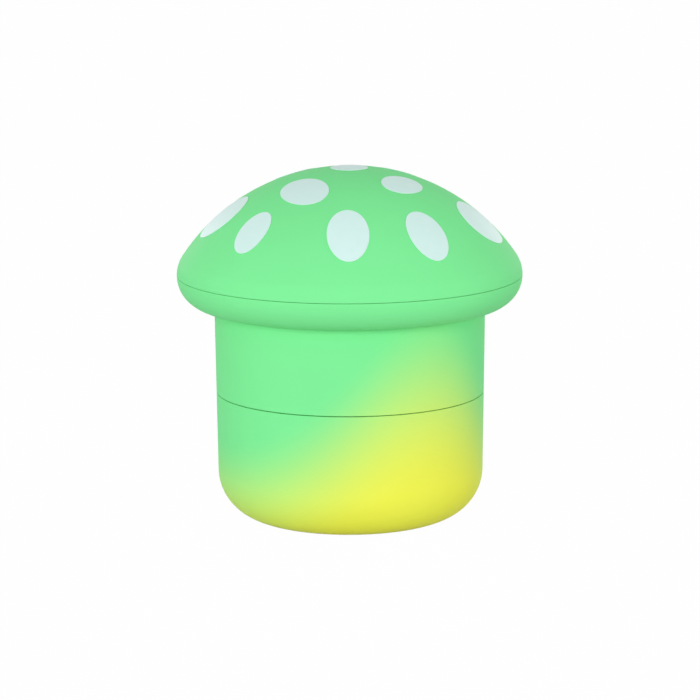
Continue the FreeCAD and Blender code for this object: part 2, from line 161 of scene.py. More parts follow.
class Bench:
    """Moves of the hand that every piece needs."""

    @staticmethod
    def clear() -> None:
        """Leaves edit mode, deselects everything and goes back to picking points."""
        if bpy.context.object and bpy.context.object.mode != "OBJECT":
            bpy.ops.object.mode_set(mode="OBJECT")
        bpy.ops.object.select_all(action="DESELECT")
        bpy.context.tool_settings.mesh_select_mode = (True, False, False)

    @staticmethod
    @contextmanager
    def editing() -> Iterator[None]:
        """Goes into edit mode with the piece in hand, and comes out after the work.

        Returns:
            Nothing, while the piece is in edit mode.
        """
        bpy.ops.object.mode_set(mode="EDIT")
        yield
        bpy.ops.object.mode_set(mode="OBJECT")

    @staticmethod
    def pick(*pieces: bpy.types.Object) -> None:
        """Selects pieces alone and makes the first of them active.

        Args:
            pieces: What to select.
        """
        Bench.clear()
        for piece in pieces:
            piece.select_set(True)
        bpy.context.view_layer.objects.active = pieces[0]

    @staticmethod
    def named(name: str) -> bpy.types.Object:
        """Names the piece in hand.

        Args:
            name: Its new name.

        Returns:
            The active object.
        """
        piece = bpy.context.object
        piece.name = name
        piece.data.name = name
        return piece

    @staticmethod
    def copy(source: bpy.types.Object, place: Matrix) -> bpy.types.Object:
        """Copies a piece with its own mesh.

        Args:
            source: What to copy.
            place: Where the copy goes, as a move of its mesh.

        Returns:
            The copy.
        """
        twin = source.copy()
        twin.data = source.data.copy()
        twin.data.transform(place)
        bpy.context.collection.objects.link(twin)
        return twin

    @staticmethod
    def spread(source: bpy.types.Object, places: list[Matrix]) -> bpy.types.Object:
        """Copies a piece to several places as one object, and takes the first one away.

        Args:
            source: What to copy.
            places: Where the copies go.

        Returns:
            The copies, joined.
        """
        copies = [Bench.copy(source, place) for place in places]
        name = source.name
        bpy.data.objects.remove(source)
        Bench.pick(*copies)
        bpy.ops.object.join()
        return Bench.named(name)

    @staticmethod
    def apply(piece: bpy.types.Object, kind: str, **settings: Any) -> None:
        """Adds a modifier and applies it.

        Args:
            piece: What to change.
            kind: The modifier's type.
            settings: Its settings.
        """
        modifier = piece.modifiers.new(kind.lower(), kind)
        for key, value in settings.items():
            setattr(modifier, key, value)
        Bench.pick(piece)
        bpy.ops.object.modifier_apply(modifier=modifier.name)

    @staticmethod
    def shape(piece: bpy.types.Object, tool: bpy.types.Object, how: Shaping) -> None:
        """Adds a solid to a piece or cuts it away, and takes the tool off the bench.

        Args:
            piece: What to change.
            tool: The other solid.
            how: Whether it is added or cut away.
        """
        Bench.apply(piece, "BOOLEAN", operation=how.value, object=tool, solver="EXACT")
        bpy.data.objects.remove(tool)

    @staticmethod
    def smooth(piece: bpy.types.Object) -> bpy.types.Object:
        """Clears slivers and shades a piece smooth, with flat faces kept flat beside softened corners.

        Args:
            piece: What to shade.

        Returns:
            The same piece.
        """
        Bench.pick(piece)
        with Bench.editing():
            bpy.ops.mesh.select_all(action="SELECT")
            bpy.ops.mesh.remove_doubles(threshold=SLIVER)
            bpy.ops.mesh.dissolve_degenerate(threshold=SLIVER)
        bpy.ops.object.shade_smooth_by_angle(angle=math.radians(SMOOTH_BELOW))
        Bench.apply(piece, "WEIGHTED_NORMAL", keep_sharp=True)
        return piece

    @staticmethod
    def mark_bare(piece: bpy.types.Object, painted: Callable[[Vector, Vector], bool]) -> None:
        """Marks the faces that the paint leaves bare.

        Args:
            piece: A painted shell.
            painted: Tells from a face's (radius, height) and its normal, as (outwards, up), whether it is
                painted.
        """
        marks = piece.data.attributes.new(BARE_MARK, "FLOAT", "FACE")
        for face, mark in zip(piece.data.polygons, marks.data):
            radius = face.center.xy.length
            outward = face.normal.xy.dot(face.center.xy) / max(radius, MERGE_GAP)
            place = Vector((radius, face.center.z)) / MM
            mark.value = 0.0 if painted(place, Vector((outward, face.normal.z))) else 1.0


class Section:
    """Half section of a turned piece, drawn from point to point as (radius, height)."""

    def __init__(self, radius: float, height: float, rounding: float = 0.0) -> None:
        """Starts the section.

        Args:
            radius: Radius of the first point.
            height: Height of the first point.
            rounding: Radius that softens this corner.
        """
        self.corners: list[tuple[Vector, float]] = [(Vector((radius, height)), rounding)]

    def to(self, radius: float, height: float, rounding: float = 0.0) -> "Section":
        """Goes straight to a point.

        Args:
            radius: Radius of the point.
            height: Height of the point.
            rounding: Radius that softens this corner.

        Returns:
            The section.
        """
        self.corners.append((Vector((radius, height)), rounding))
        return self

    def run(self, radius: float, height: float, steps: int) -> "Section":
        """Goes straight to a point in even steps, for a face that gets a thread.

        Args:
            radius: Radius of the point.
            height: Height of the point.
            steps: Number of steps.

        Returns:
            The section.
        """
        start = self.corners[-1][0]
        end = Vector((radius, height))
        for step in range(1, steps + 1):
            self.corners.append((start.lerp(end, step / steps), 0.0))
        return self

    def arc(
        self, centre: tuple[float, float], degrees: float, steps: int, rounding: float = 0.0,
    ) -> "Section":
        """Goes round a centre, anticlockwise for positive degrees.

        Args:
            centre: Centre of the arc.
            degrees: How far round.
            steps: Number of steps.
            rounding: Radius that softens the corner at the arc's end.

        Returns:
            The section.
        """
        middle = Vector(centre)
        spoke = self.corners[-1][0] - middle
        for step in range(1, steps + 1):
            turn = Matrix.Rotation(math.radians(degrees * step / steps), 2)
            self.corners.append((middle + turn @ spoke, rounding if step == steps else 0.0))
        return self

    def points(self) -> list[Vector]:
        """Resolves the softened corners.

        Returns:
            All points of the section; it closes on itself unless both ends are on the axis.
        """
        found: list[Vector] = []
        for index, (corner, rounding) in enumerate(self.corners):
            before = self.corners[index - 1][0]
            after = self.corners[(index + 1) % len(self.corners)][0]
            found += self.softened(corner, before, after, rounding) if rounding else [corner]
        if found[0].x or found[-1].x:
            found.append(found[0])
        return found

    @staticmethod
    def softened(corner: Vector, before: Vector, after: Vector, rounding: float) -> list[Vector]:
        """Rounds one corner.

        Args:
            corner: The sharp corner.
            before: The point before it.
            after: The point after it.
            rounding: Radius of the rounding.

        Returns:
            Points along the rounding.
        """
        back = (before - corner).normalized()
        on = (after - corner).normalized()
        half = back.angle(on) / 2
        centre = corner + (back + on).normalized() * (rounding / math.sin(half))
        reach = rounding / math.tan(half)
        start = (corner + back * reach - centre).normalized()
        end = (corner + on * reach - centre).normalized()
        shares = [step / CORNER_STEPS for step in range(CORNER_STEPS + 1)]
        return [centre + start.slerp(end, share) * rounding for share in shares]


def turned(
    name: str, section: Section, steps: int = ROUND_STEPS, sweep: float = FULL_TURN,
) -> bpy.types.Object:
    """Draws a half section at the front, point by point, and spins it about the axis.

    Args:
        name: Name of the piece.
        section: Its half section.
        steps: Faces round the sweep.
        sweep: How far it is spun, in degrees; less than a full turn gets flat ends.

    Returns:
        The turned piece.
    """
    places = [Vector((0.0, -point.x, point.y)) * MM for point in section.points()]
    Bench.clear()
    bpy.ops.mesh.primitive_plane_add(size=MM)
    piece = Bench.named(name)
    with Bench.editing():
        bpy.ops.mesh.merge(type="CENTER")
        bpy.ops.transform.translate(value=places[0])
        for here, there in zip(places, places[1:]):
            bpy.ops.mesh.extrude_region_move(TRANSFORM_OT_translate={"value": there - here})
        bpy.ops.mesh.select_all(action="SELECT")
        bpy.ops.mesh.spin(steps=steps, angle=math.radians(sweep), center=(0, 0, 0), axis=(0, 0, 1))
        bpy.ops.mesh.select_all(action="SELECT")
        bpy.ops.mesh.remove_doubles(threshold=MERGE_GAP)
        bpy.ops.mesh.delete_loose()
        if sweep < FULL_TURN:
            bpy.ops.mesh.select_all(action="SELECT")
            bpy.ops.mesh.fill_holes(sides=0)
        bpy.ops.mesh.select_all(action="SELECT")
        bpy.ops.mesh.normals_make_consistent(inside=False)
    return piece


def plain_ring(name: str, bore: float, extent: Extent, rounding: float) -> bpy.types.Object:
    """Turns a ring of rectangular section with softened edges.

    Args:
        name: Name of the piece.
        bore: Inner radius.
        extent: Outer radius and heights.
        rounding: Radius of the edges.

    Returns:
        The ring.
    """
    section = Section(bore, extent.bottom, rounding).to(extent.radius, extent.bottom, rounding)
    section.to(extent.radius, extent.top, rounding).to(bore, extent.top, rounding)
    return Bench.smooth(turned(name, section))


def plain_disc(name: str, extent: Extent, rounding: float) -> bpy.types.Object:
    """Turns a flat disc with softened edges.

    Args:
        name: Name of the piece.
        extent: Radius and heights.
        rounding: Radius of the edges.

    Returns:
        The disc.
    """
    section = Section(0, extent.bottom).to(extent.radius, extent.bottom, rounding)
    section.to(extent.radius, extent.top, rounding).to(0, extent.top)
    return Bench.smooth(turned(name, section))


@dataclass(frozen=True)
class Thread:
    """Right-hand screw thread as a helical groove in a turned face."""

    lead: float = 3.0
    depth: float = 0.5
    groove: float = 0.33       # half width of the groove at its mouth, as a share of the lead
    flank: float = 0.13        # width of one flank, as a share of the lead
    run_out: float = 0.7       # the groove grows shallow over this height at both ends
    steps_per_turn: int = 22   # rows of points for one lead
    face_gap: float = 0.02     # points this near the face's radius belong to it

    def rows(self, height: float) -> int:
        """Gives the rows of points that a threaded face of this height needs."""
        return math.ceil(height / self.lead * self.steps_per_turn)

    def cut(self, piece: bpy.types.Object, radius: float, bottom: float, top: float, inwards: bool) -> None:
        """Moves the points of a turned face into the groove.

        Args:
            piece: The turned piece.
            radius: Radius of the face.
            bottom: Lower end of the thread.
            top: Upper end of the thread.
            inwards: Whether the groove goes towards the axis.
        """
        for vertex in piece.data.vertices:
            height = vertex.co.z / MM
            across = vertex.co.xy.length
            if abs(across / MM - radius) > self.face_gap or not bottom <= height <= top:
                continue
            turn = math.atan2(vertex.co.y, vertex.co.x) / math.tau
            from_middle = abs((height / self.lead - turn) % 1.0 - 0.5)
            share = min(max((self.groove - from_middle) / self.flank, 0.0), 1.0)
            fade = min(height - bottom, top - height, self.run_out) / self.run_out
            move = self.depth * share * fade
            new_radius = radius - move if inwards else radius + move
            vertex.co.xy *= new_radius * MM / across


class Wiring:
    """Places and joins nodes in one node tree."""

    def __init__(self, tree: bpy.types.NodeTree) -> None:
        """Starts on a tree.

        Args:
            tree: The node tree, which is emptied.
        """
        self.tree = tree
        tree.nodes.clear()

    def add(self, kind: str, links: Links | None = None, **settings: Any) -> bpy.types.Node:
        """Adds a node.

        Args:
            kind: The node's type, without its common first word.
            links: Input sockets by name or number, each with a value or the output that feeds it.
            settings: The node's own settings.

        Returns:
            The node.
        """
        node = self.tree.nodes.new("ShaderNode" + kind)
        for key, value in settings.items():
            setattr(node, key, value)
        for key, value in (links or {}).items():
            if isinstance(value, bpy.types.NodeSocket):
                self.tree.links.new(value, node.inputs[key])
            else:
                node.inputs[key].default_value = value
        return node

    def math(self, operation: str, *values: Any) -> bpy.types.NodeSocket:
        """Adds a sum.

        Args:
            operation: What is worked out.
            values: Numbers or outputs that feed it.

        Returns:
            The result's socket.
        """
        return self.add("Math", dict(enumerate(values)), operation=operation).outputs[0]

    def blend(self, share: Any, first: Any, second: Any) -> bpy.types.NodeSocket:
        """Adds a mix of two colours.

        Args:
            share: Share of the second colour.
            first: First colour or the output that gives it.
            second: Second colour or the output that gives it.

        Returns:
            The mixed colour's socket.
        """
        node = self.add("Mix", data_type="RGBA")
        color_inputs = [socket for socket in node.inputs if socket.type == "RGBA"]
        for socket, value in zip([node.inputs[0], *color_inputs], (share, first, second)):
            if isinstance(value, bpy.types.NodeSocket):
                self.tree.links.new(value, socket)
            else:
                socket.default_value = value
        return next(socket for socket in node.outputs if socket.type == "RGBA")

    def remap(self, value: Any, low: float, high: float) -> bpy.types.NodeSocket:
        """Spreads a value from 0 to 1 over a new range.

        Args:
            value: Output that is spread.
            low: Result at 0.
            high: Result at 1.

        Returns:
            The result's socket.
        """
        return self.add("MapRange", {"Value": value, "To Min": low, "To Max": high}).outputs["Result"]

    def group(self, tree: bpy.types.NodeTree, links: Links) -> bpy.types.Node:
        """Places a shared effect.

        Args:
            tree: The effect's node group.
            links: Its inputs.

        Returns:
            The placed group.
        """
        node = self.tree.nodes.new("ShaderNodeGroup")
        node.node_tree = tree
        for key, value in links.items():
            node.inputs[key].default_value = value
        return node


class Effects:
    """Surface effects that several finishes share, as node groups made once each."""

    fine_noise: Links = {"Detail": 2.0, "Roughness": 0.6}
    slow_noise: Links = {"Detail": 4.0, "Roughness": 0.55}
    streak_noise: Links = {"Scale": 1.0, "Detail": 3.0}
    ridge_share = 0.25                      # even ridges beside the uneven streaks
    scratch_headings = (24.0, 117.0)        # degrees in plan
    scratch_tips = (0.3, 0.2)               # radians out of the plan
    scratch_stretch = (1.0, 0.03, 0.2)
    scratch_line: Links = {"From Min": 0.62, "From Max": 0.78}
    rub_noise: Links = {"Detail": 5.0, "Roughness": 0.7}
    rub_break: Links = {"From Min": 0.5, "From Max": 0.66}

    @staticmethod
    def start(
        name: str, inputs: list[str], outputs: list[str],
    ) -> tuple[Wiring, bpy.types.Node, bpy.types.Node]:
        """Starts a node group with number sockets.

        Args:
            name: Name of the group.
            inputs: Names of its inputs.
            outputs: Names of its outputs.

        Returns:
            The wiring, the input node and the output node.
        """
        tree = bpy.data.node_groups.new(name, "ShaderNodeTree")
        for side, names in (("INPUT", inputs), ("OUTPUT", outputs)):
            for socket in names:
                tree.interface.new_socket(name=socket, in_out=side, socket_type="NodeSocketFloat")
        wires = Wiring(tree)
        return wires, tree.nodes.new("NodeGroupInput"), tree.nodes.new("NodeGroupOutput")

    @staticmethod
    @cache
    def grain() -> bpy.types.NodeTree:
        """Fine pits and slow mottling of a sprayed, cast or moulded surface.

        Returns:
            The group: pits and patches per metre in; height and mottle out.
        """
        wires, given, result = Effects.start("grain", ["Pits", "Patches"], ["Height", "Mottle"])
        place = wires.add("TexCoord").outputs["Object"]
        fine = {"Vector": place, "Scale": given.outputs["Pits"], **Effects.fine_noise}
        slow = {"Vector": place, "Scale": given.outputs["Patches"], **Effects.slow_noise}
        wires.tree.links.new(wires.add("TexNoise", fine).outputs[0], result.inputs["Height"])
        wires.tree.links.new(wires.add("TexNoise", slow).outputs[0], result.inputs["Mottle"])
        return wires.tree

    @staticmethod
    @cache
    def turning() -> bpy.types.NodeTree:
        """Rings that a lathe leaves round the axis, on flat faces and on walls.

        Returns:
            The group: rings per metre and their waver in; height and streak out.
        """
        wires, given, result = Effects.start("turning", ["Rings", "Waver"], ["Height", "Streak"])
        place = wires.add("TexCoord").outputs["Object"]
        flat = wires.add("VectorMath", {0: place, 1: (1.0, 1.0, 0.0)}, operation="MULTIPLY").outputs[0]
        radius = wires.add("VectorMath", {0: flat}, operation="LENGTH").outputs["Value"]
        heading = wires.add("VectorMath", {0: flat}, operation="NORMALIZE").outputs[0]
        height = wires.add("SeparateXYZ", {0: place}).outputs["Z"]
        travel = wires.math("MULTIPLY", wires.math("ADD", radius, height), given.outputs["Rings"])
        side = wires.add("SeparateXYZ", {0: heading})
        across = wires.math("MULTIPLY", side.outputs["X"], given.outputs["Waver"])
        along = wires.math("MULTIPLY", side.outputs["Y"], given.outputs["Waver"])
        track = wires.add("CombineXYZ", {0: travel, 1: across, 2: along}).outputs[0]
        streak = wires.add("TexNoise", {"Vector": track, **Effects.streak_noise}).outputs[0]
        ridge = wires.math("SINE", wires.math("MULTIPLY", travel, math.tau))
        relief = wires.math("ADD", wires.math("MULTIPLY", ridge, Effects.ridge_share), streak)
        wires.tree.links.new(relief, result.inputs["Height"])
        wires.tree.links.new(streak, result.inputs["Streak"])
        return wires.tree

    @staticmethod
    @cache
    def scuffs() -> bpy.types.NodeTree:
        """Hairline scratches in two directions.

        Returns:
            The group: scratches per metre in; their mask out.
        """
        wires, given, result = Effects.start("scuffs", ["Lines"], ["Mask"])
        place = wires.add("TexCoord").outputs["Object"]
        masks = []
        for degrees in Effects.scratch_headings:
            turn = (*Effects.scratch_tips, math.radians(degrees))
            drawn = {"Vector": place, "Rotation": turn, "Scale": Effects.scratch_stretch}
            track = wires.add("Mapping", drawn).outputs[0]
            noise = {"Vector": track, "Scale": given.outputs["Lines"], "Detail": 1.0}
            line = {"Value": wires.add("TexNoise", noise).outputs[0], **Effects.scratch_line}
            masks.append(wires.add("MapRange", line).outputs["Result"])
        wires.tree.links.new(wires.math("MAXIMUM", *masks), result.inputs["Mask"])
        return wires.tree

    @staticmethod
    @cache
    def rub() -> bpy.types.NodeTree:
        """Broken line of wear along a level edge.

        Returns:
            The group: the edge's height, its half width and the breaks per metre in; the wear's mask out.
        """
        wires, given, result = Effects.start("rub", ["Level", "Reach", "Breaks"], ["Mask"])
        place = wires.add("TexCoord").outputs["Object"]
        height = wires.add("SeparateXYZ", {0: place}).outputs["Z"]
        away = wires.math("ABSOLUTE", wires.math("SUBTRACT", height, given.outputs["Level"]))
        near = {"Value": away, "From Min": given.outputs["Reach"], "From Max": 0.0}
        band = wires.add("MapRange", near, interpolation_type="SMOOTHSTEP").outputs["Result"]
        noise = {"Vector": place, "Scale": given.outputs["Breaks"], **Effects.rub_noise}
        patches = {"Value": wires.add("TexNoise", noise).outputs[0], **Effects.rub_break}
        broken = wires.add("MapRange", patches).outputs["Result"]
        wires.tree.links.new(wires.math("MULTIPLY", band, broken), result.inputs["Mask"])
        return wires.tree


def new_material(name: str) -> tuple[bpy.types.Material, Wiring]:
    """Starts a material with an empty node tree.

    Args:
        name: Name of the material.

    Returns:
        The material and its wiring.
    """
    material = bpy.data.materials.new(name)
    material.use_nodes = True
    return material, Wiring(material.node_tree)


def surface(wires: Wiring, links: Links) -> None:
    """Ends a material in one shader.

    Args:
        wires: The material's wiring.
        links: The shader's inputs.
    """
    shader = wires.add("BsdfPrincipled", links)
    wires.add("OutputMaterial", {"Surface": shader.outputs[0]})


@dataclass(frozen=True)
class BareMetal:
    """Cast and turned metal that the paint leaves bare."""

    color: Color = (0.56, 0.565, 0.57, 1.0)
    dull: Color = (0.44, 0.445, 0.45, 1.0)
    roughness: float = 0.34


@dataclass(frozen=True)
class SprayFade:
    """Yellow sprayed up from the foot, with its widest reach at the front right."""

    heading: float = 35.0      # middle of the yellow patch, in degrees from the front
    tightness: float = 2.9     # how fast the patch falls off round the stem
    foot_level: float = 4.8    # height of the fade away from the patch
    foot_flat: float = 15.5    # within this radius, under the foot, the patch fades out
    patch_rise: float = 21.4   # how much higher it is in the patch
    foot_soft: float = 11.4    # half height of the fade away from the patch
    patch_soft: float = 6.4    # how much softer it is in the patch
    speckle: float = 0.9       # droplets shift the fade by this much
    droplets: float = 5200.0   # droplets per metre

    def mask(self, wires: Wiring) -> bpy.types.NodeSocket:
        """Works out where the paint is yellow.

        Args:
            wires: The paint's wiring.

        Returns:
            The mask's socket, 0 on green and 1 on yellow.
        """
        place = wires.add("TexCoord").outputs["Object"]
        flat = wires.add("VectorMath", {0: place, 1: (1.0, 1.0, 0.0)}, operation="MULTIPLY").outputs[0]
        reach = wires.add("VectorMath", {0: flat}, operation="LENGTH").outputs["Value"]
        shrink = wires.math("DIVIDE", 1.0, wires.math("MAXIMUM", reach, self.foot_flat * MM))
        heading = wires.add("VectorMath", {0: flat, "Scale": shrink}, operation="SCALE").outputs[0]
        angle = math.radians(self.heading)
        patch = (math.sin(angle), -math.cos(angle), 0.0)
        facing = wires.add("VectorMath", {0: heading, 1: patch}, operation="DOT_PRODUCT").outputs["Value"]
        falloff = wires.math("MULTIPLY", wires.math("SUBTRACT", facing, 1.0), self.tightness)
        share = wires.math("EXPONENT", falloff)
        level = wires.math("MULTIPLY_ADD", share, self.patch_rise * MM, self.foot_level * MM)
        soft = wires.math("MULTIPLY_ADD", share, self.patch_soft * MM, self.foot_soft * MM)
        height = wires.add("SeparateXYZ", {0: place}).outputs["Z"]
        mist = wires.add("TexNoise", {"Vector": place, "Scale": self.droplets, "Detail": 1.0}).outputs[0]
        shifted = wires.math("MULTIPLY_ADD", wires.math("SUBTRACT", mist, 0.5), self.speckle * MM, height)
        ends = {
            "Value": shifted,
            "From Min": wires.math("ADD", level, soft),
            "From Max": wires.math("SUBTRACT", level, soft),
        }
        return wires.add("MapRange", ends, interpolation_type="SMOOTHSTEP").outputs["Result"]


@dataclass(frozen=True)
class SoftTouchPaint:
    """Matte sprayed paint of the shells, green fading to yellow, over cast metal."""

    green: Color = (0.216, 0.855, 0.318, 1.0)
    yellow: Color = (0.87, 0.885, 0.085, 1.0)
    thin: Color = (0.36, 0.86, 0.42, 1.0)
    fade: SprayFade = SprayFade()
    metal: BareMetal = BareMetal()
    cap_seam: float = 45.74
    stem_seam: float = 23.82
    rub_reach: float = 0.16
    rub_breaks: float = 900.0
    rub_share: float = 0.5     # how far worn edges go to the thin colour
    pits: float = 3200.0
    patches: float = 110.0
    smooth: float = 0.48
    rough: float = 0.55
    gloss: float = 0.04
    mottle_darkest: float = 0.97
    grain_depth: float = 0.004
    grain_share: float = 0.5   # paint grain beside the metal's rings
    bump: float = 0.35
    rings: float = 2600.0
    waver: float = 0.4

    def material(self) -> bpy.types.Material:
        """Makes the paint.

        Returns:
            The material, which the bare mark turns to metal.
        """
        material, wires = new_material("soft_touch_paint")
        grain = wires.group(Effects.grain(), {"Pits": self.pits, "Patches": self.patches})
        lathe = wires.group(Effects.turning(), {"Rings": self.rings, "Waver": self.waver})
        bare = wires.add("Attribute", attribute_name=BARE_MARK).outputs["Fac"]
        paint = wires.blend(self.fade.mask(wires), self.green, self.yellow)
        for level in (self.cap_seam, self.stem_seam):
            worn = {"Level": level * MM, "Reach": self.rub_reach * MM, "Breaks": self.rub_breaks}
            mask = wires.group(Effects.rub(), worn).outputs["Mask"]
            paint = wires.blend(wires.math("MULTIPLY", mask, self.rub_share), paint, self.thin)
        shade = wires.remap(grain.outputs["Mottle"], self.mottle_darkest, 1.0)
        tone = wires.add("CombineXYZ", {0: shade, 1: shade, 2: shade}).outputs[0]
        paint = wires.add("VectorMath", {0: paint, 1: tone}, operation="MULTIPLY").outputs[0]
        metal = wires.blend(lathe.outputs["Streak"], self.metal.dull, self.metal.color)
        paint_rough = wires.remap(grain.outputs["Mottle"], self.smooth, self.rough)
        rough = wires.add("Mix", {0: bare, 2: paint_rough, 3: self.metal.roughness}).outputs[0]
        pits = wires.math("MULTIPLY", lathe.outputs["Height"], bare)
        relief = wires.math("ADD", wires.math("MULTIPLY", grain.outputs["Height"], self.grain_share), pits)
        bump = wires.add("Bump", {"Height": relief, "Strength": self.bump, "Distance": self.grain_depth * MM})
        surface(wires, {
            "Base Color": wires.blend(bare, paint, metal),
            "Metallic": bare,
            "Roughness": rough,
            "Specular IOR Level": self.gloss,
            "Normal": bump.outputs[0],
        })
        return material


@dataclass(frozen=True)
class PrintedInk:
    """Pale ink of the spots, a little glossier than the paint."""

    color: Color = (0.66, 0.88, 0.83, 1.0)
    thin: Color = (0.635, 0.87, 0.805, 1.0)
    pits: float = 2600.0
    patches: float = 420.0
    smooth: float = 0.40
    rough: float = 0.46
    cover_low: float = 0.3     # mottle at which the ink is thinnest
    cover_high: float = 0.62   # mottle at which it covers fully
    grain_depth: float = 0.005
    bump: float = 0.3

    def material(self) -> bpy.types.Material:
        """Makes the ink.

        Returns:
            The material.
        """
        material, wires = new_material("printed_ink")
        grain = wires.group(Effects.grain(), {"Pits": self.pits, "Patches": self.patches})
        cover = {"Value": grain.outputs["Mottle"], "From Min": self.cover_low, "From Max": self.cover_high}
        even = wires.add("MapRange", cover).outputs["Result"]
        bump = {"Height": grain.outputs["Height"], "Strength": self.bump, "Distance": self.grain_depth * MM}
        surface(wires, {
            "Base Color": wires.blend(even, self.thin, self.color),
            "Roughness": wires.remap(grain.outputs["Mottle"], self.smooth, self.rough),
            "Normal": wires.add("Bump", bump).outputs[0],
        })
        return material


@dataclass(frozen=True)
class WorkedMetal:
    """Turned, plated or drawn metal with lathe rings and hairline scratches."""

    name: str
    color: Color
    dull: Color
    smooth: float
    rough: float
    rings: float
    ring_depth: float = 0.004
    waver: float = 0.5
    scratches: float = 1500.0
    scratch_rough: float = 0.6
    scratch_depth: float = 0.5  # as a share of the rings'
    pits: float = 5000.0
    patches: float = 260.0
    bump: float = 0.4

    def material(self) -> bpy.types.Material:
        """Makes the metal.

        Returns:
            The material.
        """
        material, wires = new_material(self.name)
        lathe = wires.group(Effects.turning(), {"Rings": self.rings, "Waver": self.waver})
        scuffs = wires.group(Effects.scuffs(), {"Lines": self.scratches}).outputs["Mask"]
        grain = wires.group(Effects.grain(), {"Pits": self.pits, "Patches": self.patches})
        dulled = wires.math("MULTIPLY", scuffs, self.scratch_rough)
        worn = wires.math("MAXIMUM", dulled, grain.outputs["Mottle"])
        carved = wires.math("MULTIPLY", scuffs, self.scratch_depth)
        relief = wires.math("SUBTRACT", lathe.outputs["Height"], carved)
        bump = {"Height": relief, "Strength": self.bump, "Distance": self.ring_depth * MM}
        surface(wires, {
            "Base Color": wires.blend(lathe.outputs["Streak"], self.dull, self.color),
            "Metallic": 1.0,
            "Roughness": wires.remap(worn, self.smooth, self.rough),
            "Normal": wires.add("Bump", bump).outputs[0],
        })
        return material


@dataclass(frozen=True)
class Polymer:
    """Moulded nylon or rubber with a fine skin."""

    name: str
    color: Color
    shade: Color
    smooth: float
    rough: float
    pits: float
    grain_depth: float
    patches: float = 300.0
    bump: float = 0.5

    def material(self) -> bpy.types.Material:
        """Makes the polymer.

        Returns:
            The material.
        """
        material, wires = new_material(self.name)
        grain = wires.group(Effects.grain(), {"Pits": self.pits, "Patches": self.patches})
        bump = {"Height": grain.outputs["Height"], "Strength": self.bump, "Distance": self.grain_depth * MM}
        surface(wires, {
            "Base Color": wires.blend(grain.outputs["Mottle"], self.shade, self.color),
            "Roughness": wires.remap(grain.outputs["Mottle"], self.smooth, self.rough),
            "Normal": wires.add("Bump", bump).outputs[0],
        })
        return material


class Finishes:
    """The materials of the grinder, each made once."""

    def __init__(self) -> None:
        """Makes every finish."""
        self.paint = SoftTouchPaint().material()
        self.ink = PrintedInk().material()
        self.teeth = WorkedMetal(
            "tooth_metal", color=(0.70, 0.71, 0.72, 1.0), dull=(0.55, 0.56, 0.57, 1.0),
            smooth=0.26, rough=0.42, rings=2200.0,
        ).material()
        self.sieve = WorkedMetal(
            "sieve_metal", color=(0.66, 0.67, 0.68, 1.0), dull=(0.54, 0.55, 0.56, 1.0),
            smooth=0.30, rough=0.44, rings=3000.0,
        ).material()
        self.steel = WorkedMetal(
            "bright_steel", color=(0.58, 0.57, 0.55, 1.0), dull=(0.46, 0.45, 0.44, 1.0),
            smooth=0.22, rough=0.38, rings=6000.0,
        ).material()
        self.nickel = WorkedMetal(
            "magnet_nickel", color=(0.71, 0.68, 0.62, 1.0), dull=(0.60, 0.575, 0.53, 1.0),
            smooth=0.12, rough=0.28, rings=4200.0, ring_depth=0.002,
        ).material()
        self.nylon = Polymer(
            "nylon", color=(0.80, 0.79, 0.74, 1.0), shade=(0.70, 0.69, 0.64, 1.0),
            smooth=0.34, rough=0.46, pits=2500.0, grain_depth=0.006,
        ).material()
        # The washer's dark green is in part painted shade: it darkens the gap of the stem's seam, where the
        # line is mostly shadow.
        self.rubber = Polymer(
            "washer_rubber", color=(0.06, 0.20, 0.08, 1.0), shade=(0.045, 0.15, 0.06, 1.0),
            smooth=0.55, rough=0.7, pits=4000.0, grain_depth=0.01,
        ).material()


@dataclass
class Piece:
    """A finished mesh, the CAD node that it stands for, and how it is dressed."""

    mesh: bpy.types.Object
    node: str
    body: Body
    slot: Slot
    finish: bpy.types.Material

    def dress(self) -> None:
        """Gives the mesh its finish and ties it to the frame."""
        self.mesh.data.materials.clear()
        self.mesh.data.materials.append(self.finish)
        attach(self.mesh, self.body.value)
        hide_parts(self.node)
        LOG.info("%s: %d faces, rides on %s", self.mesh.name, len(self.mesh.data.polygons), self.body.value)


@dataclass(frozen=True)
class Stem:
    """Tapering outside of the stem, which the cup and the chamber share."""

    top_radius: float = 25.1
    crease: float = 39.90
    draft: float = 0.8
    seam_edge: float = 0.08    # softened edges along both seams

    def radius_at(self, height: float) -> float:
        """Gives the outer radius at a height."""
        return self.top_radius - (self.crease - height) * math.tan(math.radians(self.draft))


